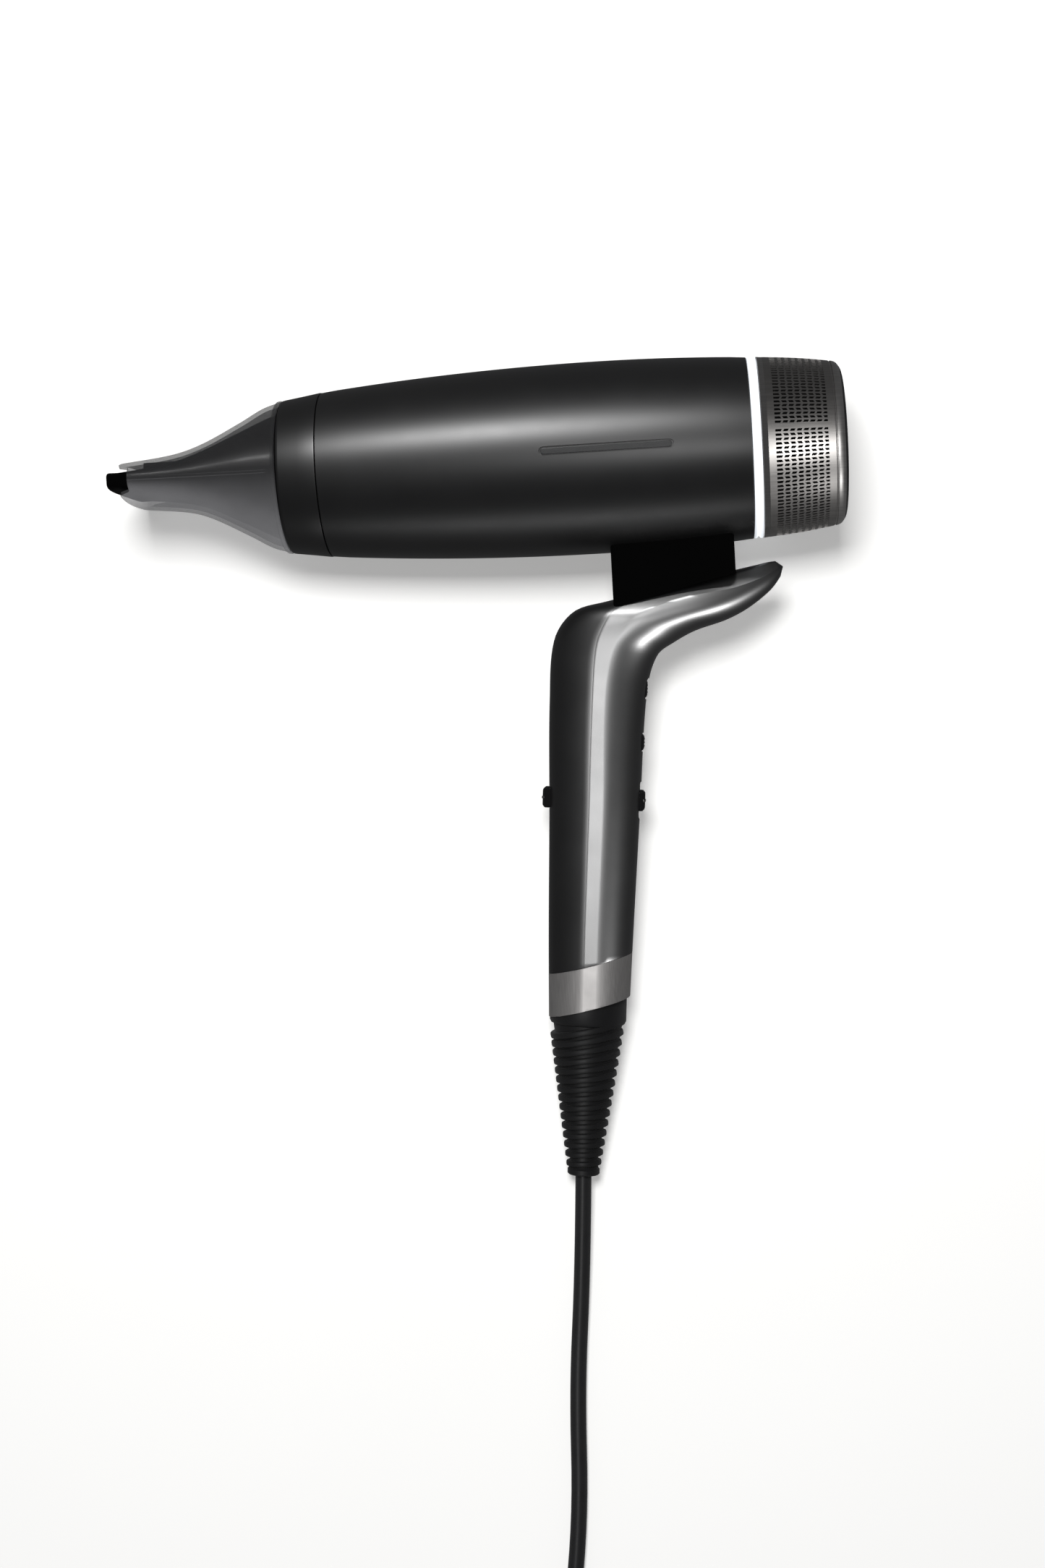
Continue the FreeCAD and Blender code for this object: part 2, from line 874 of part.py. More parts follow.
def controls():
    """Slider, push buttons and what they switch, inside the handle."""
    for name, (face, height, length, width, surface, rise) in CONTROLS.items():
        sign = 1 if face == "rear" else -1
        lean = HANDLE.multiply(
            Placement(Vector(0, size(height), 0), Rotation(Vector(0, 0, 1), 0 if sign > 0 else 180))
        )
        cap = prism(
            name + "_cap",
            "YZ_Plane",
            rectangle(-length / 2, length / 2, -width / 2, width / 2),
            rise + 4.2,
            surface - 4.2,
            False,
        )
        rounded(cap, name, ["Edge1", "Edge3", "Edge5", "Edge7"], "1.6")
        flange_reach = 1.2
        flange = block(
            name + "_flange",
            Vector(surface - 5.2, -length / 2 - flange_reach, -width / 2),
            Vector(surface - 4.0, length / 2 + flange_reach, width / 2),
        )
        keep(fused(name, [cap, flange]), name, lean)

    keep(block("slide_switch", Vector(5, 78, -5), Vector(12.6, 93, 5)), "slide_switch", HANDLE)
    keep(block("button_board", Vector(9.6, 99, -8), Vector(11.2, 141, 8)), "button_board", HANDLE)
    switches = [
        block(f"switch_{height}", Vector(11.3, at - 2, -2), Vector(12.6, at + 2, 2))
        for height, at in (("speed", size("speed_at")), ("heat", size("heat_at")))
    ]
    switches.append(
        block("switch_cool", Vector(-11.4, size("cool_at") - 2, -2), Vector(-9.4, size("cool_at") + 2, 2))
    )
    keep(grouped("tact_switches", switches), "tact_switches", HANDLE)
    keep(block("power_board", Vector(-9.2, 22, -9), Vector(-7.6, 118, 9)), "power_board", HANDLE)
    parts = [
        cylinder(f"capacitor{number}", "4.2", "9", Vector(-7.4, at, 0))
        for number, at in enumerate((34.0, 46.0))
    ]
    keep(grouped("board_capacitors", parts), "board_capacitors", HANDLE)


# ------------------------------------------------- strain relief and lead


def strain_relief(above):
    """Ribbed rubber sleeve that the lead leaves through, its clamp and the inner lead."""
    corners = [("-relief_length", "cord_radius+0.15"), ("12", "cord_radius+0.15"), ("12", "relief_radius")]
    corners.append(("-5", "relief_radius"))
    slope = "(relief_radius-relief_end_radius)/(relief_length-5)"
    for number in range(int(size("relief_ribs"))):
        top = f"-5-{number}*rib_pitch"
        crest = f"relief_radius-{number}*rib_pitch*{slope}"
        corners += [
            (top, f"{crest}-1.5"),
            (f"{top}-1.3", f"{crest}-1.5"),
            (f"{top}-1.3", f"{crest}-0.1"),
            (f"{top}-3.9", f"{crest}-0.4"),
        ]
    corners += [("-relief_length", "relief_end_radius")]
    body = turned("relief_body", corners)
    body.Placement = HANDLE.multiply(Placement(Vector(), Rotation(Vector(0, 0, 1), 90)))
    keep(cut("relief", body, above), "strain_relief")


LEAD_ROUTE = [
    # the stretch that lies on the surface, from the strain relief to the coil
    (24.2, -201.0, 4.6),
    (19.6, -248.0, 3.5),
    (18.6, -298.0, 3.5),
    (12.2, -343.0, 3.9),
    (10.0, -390.0, 4.25),
]


def tube(points, radius):
    """Round bar along straight runs joined by tangent arcs as large as the runs allow."""
    edges = []
    start = points[0]
    for before, corner, after in zip(points, points[1:], points[2:]):
        back, ahead = before - corner, after - corner
        turn = math.pi - back.getAngle(ahead)
        reach = 0.45 * min(back.Length, ahead.Length)
        bend = reach / math.tan(turn / 2)
        print(f"lead bend radius {bend:.0f} mm")
        first = corner + back.normalize() * reach
        last = corner + ahead.normalize() * reach
        sag = math.hypot(bend, reach) - bend
        through = corner + (first + last - corner * 2).normalize() * sag
        edges += [Part.LineSegment(start, first).toShape(), Part.Arc(first, through, last).toShape()]
        start = last
    edges.append(Part.LineSegment(start, points[-1]).toShape())
    path = Part.Wire(edges)
    section = Part.Wire(Part.makeCircle(radius, points[0], points[1] - points[0]))
    bar = path.makePipeShell([section], True, True)
    expected = math.pi * radius**2 * path.Length
    print(f"lead {path.Length:.1f} mm, volume {bar.Volume / expected:.4f} of section x length")
    return bar


def lay_cord():
    """The mains lead on the surface: laid stretch, coil with its tie, and plug."""
    radius = size("cord_radius")
    exit_point = REST.multiply(HANDLE).multVec(Vector(0, -size("relief_length") - 0.05, 0))
    lead = doc.addObject("Part::Feature", "lead")
    lead.Shape = tube([exit_point] + [Vector(*point) for point in LEAD_ROUTE], radius)
    place(lead, "cord_lead", ORIGIN)

    middle = Placement(Vector(size("coil_along"), size("coil_across"), 0), Rotation())
    low, high = "coil_lift", "coil_lift+coil_height"
    near, far = "coil_radius-coil_width/2", "coil_radius+coil_width/2"
    bundle = turned(
        "coil",
        [
            (f"{near}+cord_radius", low),
            (f"{far}-cord_radius", low, "cord_radius"),
            (far, f"{low}+cord_radius"),
            (far, f"{high}-cord_radius", "cord_radius"),
            (f"{far}-cord_radius", high),
            (f"{near}+cord_radius", high, "cord_radius"),
            (near, f"{high}-cord_radius"),
            (near, f"{low}+cord_radius", "cord_radius"),
        ],
        "XZ_Plane",
        "V_Axis",
    )
    place(bundle, "cord_coil", middle)

    strap = "tie_thickness"
    around = turned(
        "tie_outer",
        rectangle(
            f"{near}-0.2-{strap}", f"{far}+0.2+{strap}", f"{low}-0.1-{strap}", f"{high}+0.2+{strap}"
        ),
        "XZ_Plane",
        "V_Axis",
        26,
    )
    opening = turned(
        "tie_opening",
        rectangle(f"{near}-0.2", f"{far}+0.2", f"{low}-0.1", f"{high}+0.2"),
        "XZ_Plane",
        "V_Axis",
        40,
    )
    turned_to = Placement(Vector(), Rotation(Vector(0, 0, 1), 55))
    place(cut("tie", around, opening), "cord_tie", middle.multiply(turned_to))

    plug_at = Vector(
        size("coil_along+plug_beyond"), size("coil_across+plug_aside"), size("plug_height/2+0.1")
    )
    length = size("tail_length")
    tail = doc.addObject("Part::Feature", "tail")
    tail.Shape = Part.makeCylinder(
        radius, length, plug_at - Vector(length + 0.05, 0, 0), Vector(1, 0, 0)
    )
    place(tail, "cord_tail", ORIGIN)
    plug(Placement(plug_at, Rotation()))


def plug(at):
    """Moulded two-pin mains plug."""
    half_wide, half_high = "plug_width/2", "plug_height/2"
    body = new_body("plug")
    grip = outline(body, "YZ_Plane", rectangle("-8", "8", "-7", "7"))
    waist = outline(body, "YZ_Plane", rectangle("-11", "11", "-9", "9"), "16")
    shoulder = outline(
        body, "YZ_Plane", rectangle(f"-{half_wide}", half_wide, f"-{half_high}", half_high), "26"
    )
    flare = body.newObject("PartDesign::AdditiveLoft", "plug_flare")
    flare.Profile = grip
    flare.Sections = [waist, shoulder]
    flare.Ruled = True
    head = body.newObject("PartDesign::Pad", "plug_head")
    head.Profile = outline(
        body, "YZ_Plane", rectangle(f"-{half_wide}", half_wide, f"-{half_high}", half_high), "26"
    )
    head.Length = 14
    body.Tip = head
    place(body, "plug_body", at)
    pins = [
        cylinder(
            f"pin{number}", "pin_radius", "pin_length", Vector(40, side * size("pin_spacing") / 2, 0)
        )
        for number, side in enumerate((-1, 1))
    ]
    place(grouped("plug_pins", pins), "plug_pins", at)


def wiring():
    """Inner lead, its clamp and the wires that run up the handle to the heater."""
    inner = cylinder("inner", "cord_radius", "relief_length+8", Vector(0, 14, 0), Vector(0, -1, 0))
    inner.setExpression("Height", "Sizes.relief_length + 14")
    keep(inner, "inner_lead", HANDLE)
    jaw = block("jaw", Vector(-9, 13, -9), Vector(9, 19, 9))
    hole = cylinder("jaw_hole", "cord_radius+0.05", "10", Vector(0, 11, 0), Vector(0, 1, 0))
    keep(cut("clamp", jaw, hole), "cord_clamp", HANDLE)
    wires = [
        cylinder(f"wire{number}", "1.1", "112", Vector(3.2, 20, out), Vector(0, 1, 0))
        for number, out in enumerate((-3.0, 0.0, 3.0))
    ]
    keep(grouped("handle_wires", wires), "handle_wires", HANDLE)


def check():
    """Stops on any failed object or bad shape."""
    failed = [
        f"{item.Label}: {item.getStatusString()}"
        for item in doc.Objects
        if {"Invalid", "Error"} & set(item.State)
    ]
    assert not failed, f"failed objects: {failed}"
    for label, thing in BODIES.items():
        shape = thing.Shape
        assert not shape.isNull() and shape.isValid(), f"bad shape: {label}"
        assert shape.Volume > 1, f"no volume: {label}"


def main():
    """Builds every sub-part and writes one file for each."""
    barrel_outer = barrel()
    outlet_grille()
    inlet_filter()
    nozzle()
    fan()
    heater()
    above_relief = handle(barrel_outer)
    controls()
    wiring()
    strain_relief(above_relief)
    lay_cord()
    doc.recompute()
    check()
    os.makedirs("parts", exist_ok=True)
    for label, thing in BODIES.items():
        thing.Shape.exportStep(f"parts/{label}.step")
        print(f"{label:24s} {len(thing.Shape.Solids)} solids {thing.Shape.Volume / 1000:9.2f} cm3")


main()
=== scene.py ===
"""Hair dryer lying on its side: its finished surfaces, mains lead, floor, light and camera.

Sizes are millimetres in the dryer's own axes: X along the barrel towards the air inlet,
Y from the handle up to the barrel, Z out of the side that shows. The handle's own axes
have their origin at its foot, x to the rear and y up the grip.
"""

import json
import logging
import math
from dataclasses import dataclass
from enum import Enum
from typing import Callable, Sequence

import bpy
from mathutils import Matrix, Vector


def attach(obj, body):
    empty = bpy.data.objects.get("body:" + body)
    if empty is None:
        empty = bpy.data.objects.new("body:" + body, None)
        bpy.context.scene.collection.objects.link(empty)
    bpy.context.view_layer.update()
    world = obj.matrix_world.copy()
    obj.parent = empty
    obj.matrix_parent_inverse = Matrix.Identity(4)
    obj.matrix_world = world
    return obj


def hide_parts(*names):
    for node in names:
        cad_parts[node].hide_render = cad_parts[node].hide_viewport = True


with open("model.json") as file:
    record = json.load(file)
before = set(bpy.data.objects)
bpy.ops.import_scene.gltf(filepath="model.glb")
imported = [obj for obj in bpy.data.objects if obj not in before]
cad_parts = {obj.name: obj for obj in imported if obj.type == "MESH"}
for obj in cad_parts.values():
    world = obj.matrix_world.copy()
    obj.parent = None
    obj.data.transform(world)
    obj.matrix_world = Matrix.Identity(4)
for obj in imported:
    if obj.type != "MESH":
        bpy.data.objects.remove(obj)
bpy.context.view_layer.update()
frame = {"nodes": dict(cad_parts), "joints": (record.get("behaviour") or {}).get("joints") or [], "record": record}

LOG = logging.getLogger("dryer")
MM = 0.001
Pair = tuple[float, float]
Triple = tuple[float, float, float]
Rings = tuple[Pair, ...]
Piece = bpy.types.Object
Finish = bpy.types.Material

# From the fan's joint to the barrel's origin, and the foot of the grip.
SHAFT_TO_ORIGIN = 10.0
HANDLE_FOOT = (-45.9, -221.0, 0.0)


# Axes of the dryer


@dataclass(frozen=True)
class Axes:
    """Where the dryer's and the handle's own axes lie."""

    dryer: Matrix
    handle: Matrix

    @classmethod
    def from_joints(cls, joints: Sequence[dict]) -> "Axes":
        """Reads both sets of axes off the fan's shaft and the power slider.

        Args:
            joints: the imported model's joints.

        Returns:
            The two placements.
        """
        by_name = {joint["name"]: joint for joint in joints}
        shaft, slider = by_name["impeller_spin"], by_name["power_slide"]
        along = Vector(shaft["axis"]).normalized()
        grip = Vector(slider["axis"]).normalized()
        out = along.cross(grip).normalized()
        dryer = cls.placed(along, out.cross(along), out, Vector(shaft["pos_m"]) + along * SHAFT_TO_ORIGIN * MM)
        foot = dryer @ (Vector(HANDLE_FOOT) * MM)
        return cls(dryer, cls.placed(grip.cross(out), grip, out, foot))

    @staticmethod
    def placed(x: Vector, y: Vector, z: Vector, origin: Vector) -> Matrix:
        """Placement from three directions and an origin."""
        matrix = Matrix((x, y, z)).transposed().to_4x4()
        matrix.translation = origin
        return matrix


AXES = Axes.from_joints(frame["joints"])


# Modelling helpers


def clear_bench() -> None:
    """Leaves edit mode and deselects everything."""
    if bpy.context.object and bpy.context.object.mode != "OBJECT":
        bpy.ops.object.mode_set(mode="OBJECT")
    bpy.ops.object.select_all(action="DESELECT")


def pick_up(piece: Piece) -> None:
    """Makes one piece the only selected and the active one."""
    clear_bench()
    piece.select_set(True)
    bpy.context.view_layer.objects.active = piece


def edit(piece: Piece) -> None:
    """Opens a piece in edit mode with all of it selected."""
    pick_up(piece)
    bpy.ops.object.mode_set(mode="EDIT")
    bpy.ops.mesh.select_mode(type="VERT")
    bpy.ops.mesh.select_all(action="SELECT")


def edit_chosen(piece: Piece, kind: str, parts: Sequence, chosen: Callable[..., bool]) -> None:
    """Opens a piece in edit mode with only some of its edges or faces selected.

    Args:
        piece: the piece.
        kind: EDGE or FACE.
        parts: its mesh's edges or polygons.
        chosen: tells for each part whether it is selected.
    """
    edit(piece)
    bpy.ops.mesh.select_mode(type=kind)
    bpy.ops.mesh.select_all(action="DESELECT")
    close_edit()
    for part in parts:
        part.select = chosen(part)
    bpy.ops.object.mode_set(mode="EDIT")


def close_edit() -> None:
    """Goes back to object mode."""
    bpy.ops.object.mode_set(mode="OBJECT")


def named(name: str) -> Piece:
    """Names the piece just added, and its mesh, and fixes its place in its mesh."""
    piece = bpy.context.object
    piece.name = piece.data.name = name
    bpy.ops.object.transform_apply(location=True, rotation=True, scale=True)
    return piece


def merged(piece: Piece, reach: float = 0.004) -> Piece:
    """Merges doubles and turns the faces outwards.

    Args:
        piece: the piece to clean.
        reach: how near two points have to be, in millimetres.

    Returns:
        The same piece.
    """
    edit(piece)
    bpy.ops.mesh.remove_doubles(threshold=reach * MM)
    bpy.ops.mesh.normals_make_consistent(inside=False)
    close_edit()
    return piece


def lathe(
    name: str, profile: Sequence[Pair], sides: int = 128, closed: bool = False, capped: bool = False
) -> Piece:
    """Form turned about the X axis.

    Args:
        name: the piece's name.
        profile: (along, radius) of each ring.
        sides: points in a ring.
        closed: whether the last ring joins the first, as in a tube with a wall.
        capped: whether the two open ends are filled.

    Returns:
        The new piece.
    """
    clear_bench()
    along, radius = profile[0]
    bpy.ops.mesh.primitive_circle_add(
        vertices=sides, radius=radius * MM, location=(along * MM, 0, 0), rotation=(0, math.pi / 2, 0)
    )
    piece = named(name)
    edit(piece)
    stops = list(profile) + ([profile[0]] if closed else [])
    for (start, before), (end, after) in zip(stops, stops[1:]):
        bpy.ops.mesh.extrude_region_move(TRANSFORM_OT_translate={"value": ((end - start) * MM, 0, 0)})
        share = after / before
        bpy.ops.transform.resize(value=(1, share, share), center_override=(end * MM, 0, 0))
    close_edit()
    return merged(filled(piece) if capped else piece)


def skin(name: str, rows: int, columns: int, surface: Callable[[float, float], Vector]) -> Piece:
    """Grid wrapped over a surface.

    Args:
        name: the piece's name.
        rows: cells along the surface.
        columns: cells round it.
        surface: gives the point in millimetres for shares 0..1 along and round.

    Returns:
        The new piece, with doubles merged and faces outwards.
    """
    clear_bench()
    bpy.ops.mesh.primitive_grid_add(x_subdivisions=rows, y_subdivisions=columns, size=1)
    piece = named(name)
    for vertex in piece.data.vertices:
        vertex.co = surface(vertex.co.x + 0.5, vertex.co.y + 0.5) * MM
    return merged(piece)


def block(
    name: str,
    low: Sequence[float],
    high: Sequence[float],
    edge: float,
    segments: int = 3,
    along: int | None = None,
) -> Piece:
    """Box with rounded edges.

    Args:
        name: the piece's name.
        low: lowest corner.
        high: highest corner.
        edge: radius of the rounded edges.
        segments: steps in each rounded edge.
        along: the axis, 0 to 2, that the rounded edges follow; every edge if left out.

    Returns:
        The new piece.
    """
    clear_bench()
    middle = [(a + b) / 2 * MM for a, b in zip(low, high)]
    bpy.ops.mesh.primitive_cube_add(size=1, location=middle, scale=[(b - a) * MM for a, b in zip(low, high)])
    piece = named(name)
    if along is None:
        edit(piece)
    else:
        corners = piece.data.vertices

        def runs_along(line: bpy.types.MeshEdge) -> bool:
            """Whether an edge follows the axis."""
            start, end = (corners[i].co[along] for i in line.vertices)
            return abs(start - end) > edge * MM

        edit_chosen(piece, "EDGE", piece.data.edges, runs_along)
    bpy.ops.mesh.bevel(offset=edge * MM, segments=segments, affect="EDGES")
    close_edit()
    return piece


def trimmed(piece: Piece, at: Pair, slope: float, keep_above: bool) -> Piece:
    """Cuts a piece along a slanted line that runs through its whole width.

    Args:
        piece: the piece to cut.
        at: (along, up) of one point of the line.
        slope: rise of the line for each unit along.
        keep_above: whether the part above the line stays.

    Returns:
        The same piece.
    """
    edit(piece)
    bpy.ops.mesh.bisect(
        plane_co=(at[0] * MM, at[1] * MM, 0),
        plane_no=Vector((-slope, 1, 0)).normalized(),
        clear_inner=keep_above,
        clear_outer=not keep_above,
    )
    close_edit()
    return piece


def apply_modifier(piece: Piece, kind: str, **settings: object) -> Piece:
    """Adds a modifier with its settings and applies it."""
    pick_up(piece)
    modifier = piece.modifiers.new(kind.title(), kind)
    for name, value in settings.items():
        setattr(modifier, name, value)
    bpy.ops.object.modifier_apply(modifier=modifier.name)
    return piece


def filled(piece: Piece) -> Piece:
    """Closes every open end of a piece."""
    edit(piece)
    bpy.ops.mesh.fill_holes(sides=0)
    close_edit()
    return piece


def thickened(piece: Piece, wall: float) -> Piece:
    """Gives a skin its wall, inwards from the surface."""
    return apply_modifier(piece, "SOLIDIFY", thickness=wall * MM, offset=-1, use_even_offset=False)


def softened(piece: Piece, edge: float, segments: int = 2, angle: float = 40) -> Piece:
    """Rounds the edges that are sharper than an angle."""
    return apply_modifier(
        piece,
        "BEVEL",
        width=edge * MM,
        segments=segments,
        limit_method="ANGLE",
        angle_limit=math.radians(angle),
        harden_normals=False,
    )


def carved(piece: Piece, *cutters: Piece) -> Piece:
    """Cuts other pieces out of a piece, and removes them."""
    for cutter in cutters:
        apply_modifier(piece, "BOOLEAN", operation="DIFFERENCE", solver="EXACT", object=cutter)
        bpy.data.objects.remove(cutter)
    return piece


def joined(name: str, pieces: Sequence[Piece]) -> Piece:
    """Several pieces as one."""
    clear_bench()
    for piece in pieces:
        piece.select_set(True)
    bpy.context.view_layer.objects.active = pieces[0]
    bpy.ops.object.join()
    pieces[0].name = pieces[0].data.name = name
    return pieces[0]


def copied(piece: Piece, placement: Matrix) -> Piece:
    """Copy of a piece with its own mesh, moved to a placement."""
    twin = piece.copy()
    twin.data = piece.data.copy()
    bpy.context.scene.collection.objects.link(twin)
    twin.data.transform(placement)
    return twin


def mounted(
    piece: Piece,
    finish: Finish,
    body: str,
    nodes: Sequence[str] = (),
    placement: Matrix | None = None,
    angle: float = 35,
) -> Piece:
    """Lays a finished piece down with the dryer, dresses it and joins it to its body.

    Args:
        piece: the piece, in its own axes.
        finish: its material.
        body: the body that it moves with.
        nodes: the solids that it stands for.
        placement: where its axes lie.
        angle: edges flatter than this are shaded smooth, in degrees.

    Returns:
        The same piece.
    """
    piece.data.transform(AXES.dryer if placement is None else placement)
    pick_up(piece)
    bpy.ops.object.shade_smooth_by_angle(angle=math.radians(angle))
    piece.data.materials.clear()
    piece.data.materials.append(finish)
    declare(piece, body, nodes)
    return piece


def declare(piece: Piece, body: str, nodes: Sequence[str]) -> None:
    """Tells the frame what a piece rides on and what it stands for."""
    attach(piece, body)
    if nodes:
        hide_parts(*nodes)
    LOG.info("%s rides on %s for %s", piece.name, body, ", ".join(nodes) or "itself")


def eased(stops: Sequence[float], rows: Sequence[Sequence[float]], at: float) -> list[float]:
    """Smooth curve through rows of numbers.

    Args:
        stops: where along the curve each row stands, rising.
        rows: the numbers at each stop.
        at: where to read the curve.

    Returns:
        The numbers there.
    """
    at = min(max(at, stops[0]), stops[-1])
    last = len(stops) - 2
    index = min(max(i for i, stop in enumerate(stops) if stop <= at), last)

    def slope(i: int, k: int) -> float:
        """Slope of number k at stop i."""
        a, b = max(i - 1, 0), min(i + 1, last + 1)
        return (rows[b][k] - rows[a][k]) / (stops[b] - stops[a])

    span = stops[index + 1] - stops[index]
    t = (at - stops[index]) / span
    result = []
    for k, (p, q) in enumerate(zip(rows[index], rows[index + 1])):
        m, n = slope(index, k) * span, slope(index + 1, k) * span
        result.append(
            (2 * t**3 - 3 * t**2 + 1) * p + (t**3 - 2 * t**2 + t) * m + (3 * t**2 - 2 * t**3) * q + (t**3 - t**2) * n
        )
    return result


def scaled(colour: Triple, share: float) -> Triple:
    """A colour times a share, at most white."""
    return tuple(min(channel * share, 1) for channel in colour)


def squircle(turn: float, power: float) -> Pair:
    """Point of a unit rounded square at an angle in radians; power 2 gives a circle."""
    c, s = math.cos(turn), math.sin(turn)
    return math.copysign(abs(c) ** (2 / power), c), math.copysign(abs(s) ** (2 / power), s)


# Shader helpers


class Value:
    """A number in a material's node tree that Python's operators work on."""

    def __init__(self, shader: "Shader", socket: bpy.types.NodeSocket) -> None:
        """Wraps one output socket of a shader's tree."""
        self.shader = shader
        self.socket = socket

    def math(self, operation: str, other: "Value | float | None" = None, swapped: bool = False) -> "Value":
        """Adds one Math node.

        Args:
            operation: the node's operation.
            other: the second number, if there is one.
            swapped: whether the other number comes first.

        Returns:
            The result.
        """
        numbers = [self] if other is None else ([other, self] if swapped else [self, other])
        node = self.shader.node("ShaderNodeMath", {"operation": operation}, dict(enumerate(numbers)))
        return Value(self.shader, node.outputs[0])

    def __add__(self, other: "Value | float") -> "Value":
        """Sum."""
        return self.math("ADD", other)

    def __sub__(self, other: "Value | float") -> "Value":
        """Difference."""
        return self.math("SUBTRACT", other)

    def __rsub__(self, other: float) -> "Value":
        """Difference from a number."""
        return self.math("SUBTRACT", other, swapped=True)

    def __mul__(self, other: "Value | float") -> "Value":
        """Product."""
        return self.math("MULTIPLY", other)

    __radd__ = __add__
    __rmul__ = __mul__

    def ramp(self, low: float, high: float) -> "Value":
        """0 below low, 1 above high, and a smooth step between; low may be above high."""
        if low > high:
            return 1 - self.ramp(high, low)
        sockets = {"Value": self, "From Min": low, "From Max": high}
        node = self.shader.node("ShaderNodeMapRange", {"interpolation_type": "SMOOTHSTEP"}, sockets)
        return Value(self.shader, node.outputs[0])


class Shader:
    """A material under construction."""

    def __init__(self, name: str) -> None:
        """Starts a material with its principled shader."""
        self.material = bpy.data.materials.new(name)
        self.material.use_nodes = True
        self.tree = self.material.node_tree
        self.surface = self.tree.nodes["Principled BSDF"]
        self.place = self.node("ShaderNodeTexCoord").outputs["Object"]

    def node(self, kind: str, settings: dict | None = None, sockets: dict | None = None) -> bpy.types.Node:
        """Adds a node.

        Args:
            kind: the node's type.
            settings: its own settings, set first.
            sockets: values or links of its inputs, by name or number.

        Returns:
            The node.
        """
        node = self.tree.nodes.new(kind)
        for name, value in (settings or {}).items():
            setattr(node, name, value)
        for name, value in (sockets or {}).items():
            self.feed(node.inputs[name], value)
        return node

    def feed(self, socket: bpy.types.NodeSocket, value: object) -> None:
        """Links a socket, or sets its own value."""
        if isinstance(value, Value):
            value = value.socket
        if isinstance(value, bpy.types.NodeSocket):
            self.tree.links.new(value, socket)
        else:
            socket.default_value = value

    def set(self, **sockets: object) -> None:
        """Feeds the principled shader; an underscore in a name stands for a space."""
        for name, value in sockets.items():
            self.feed(self.surface.inputs[name.replace("_", " ")], value)

    def local(self, axes: Matrix, stretch: Triple = (1, 1, 1)) -> bpy.types.NodeSocket:
        """Place in a sub-assembly's own axes, in metres, stretched along each axis."""
        settings = {"vector_type": "TEXTURE"}
        sockets = {
            "Vector": self.place,
            "Location": axes.translation,
            "Rotation": axes.to_euler(),
            "Scale": stretch,
        }
        return self.node("ShaderNodeMapping", settings, sockets).outputs[0]

    def parts(self, vector: bpy.types.NodeSocket) -> tuple[Value, Value, Value]:
        """The three numbers of a vector."""
        node = self.node("ShaderNodeSeparateXYZ", None, {0: vector})
        x, y, z = (Value(self, output) for output in node.outputs)
        return x, y, z

    def noise(self, size: float, detail: float = 3, vector: bpy.types.NodeSocket | None = None) -> Value:
        """Cloudy noise, 0..1, whose blotches are about a size in millimetres."""
        sockets = {"Vector": vector or self.place, "Scale": 1 / (size * MM), "Detail": detail}
        return Value(self, self.node("ShaderNodeTexNoise", None, sockets).outputs[0])

    def cells(self, size: float) -> Value:
        """Distance to the nearest point of a random scatter, in shares of its spacing."""
        node = self.node("ShaderNodeTexVoronoi", None, {"Vector": self.place, "Scale": 1 / (size * MM)})
        return Value(self, node.outputs["Distance"])

    def blend(self, share: Value | float, low: Triple, high: Triple) -> bpy.types.NodeSocket:
        """Mix of two colours."""
        sockets = {0: share, 6: (*low, 1), 7: (*high, 1)}
        return self.node("ShaderNodeMix", {"data_type": "RGBA"}, sockets).outputs[2]

    def relief(self, height: Value, depth: float) -> None:
        """Surface relief of a depth in millimetres."""
        sockets = {"Height": height, "Distance": depth * MM, "Strength": 1.0}
        self.set(Normal=self.node("ShaderNodeBump", None, sockets).outputs[0])


# Finishes


class Recipe:
    """A finish that can be made into a material."""

    def dress(self, shader: Shader) -> None:
        """Lays the finish into a shader; each finish has its own way."""
        raise NotImplementedError

    def material(self, name: str) -> Finish:
        """Builds the finish under a name."""
        shader = Shader(name)
        self.dress(shader)
        return shader.material


@dataclass(frozen=True)
class MouldedPlastic(Recipe):
    """Injection moulded plastic with a fine spark-eroded grain and faint handling marks."""

    colour: Triple
    roughness: float
    grain: float = 0.35
    depth: float = 0.004
    tone: float = 0.25
    shine: float = 0.5

    def dress(self, shader: Shader) -> None:
        """Lays grain, clouds of tone and dust into the shader."""
        clouds, grain, dust = shader.noise(18.0), shader.noise(self.grain, 4), shader.cells(2.6)
        shader.set(
            Base_Color=shader.blend(
                clouds * 0.6 + grain * 0.4, scaled(self.colour, 1 - self.tone), scaled(self.colour, 1 + self.tone)
            ),
            Roughness=clouds * 0.06 + grain * 0.04 + dust.ramp(0.06, 0.0) * 0.08 + (self.roughness - 0.05),
            Specular_IOR_Level=self.shine,
            IOR=1.49,
        )
        shader.relief(grain + clouds * 0.5, self.depth)


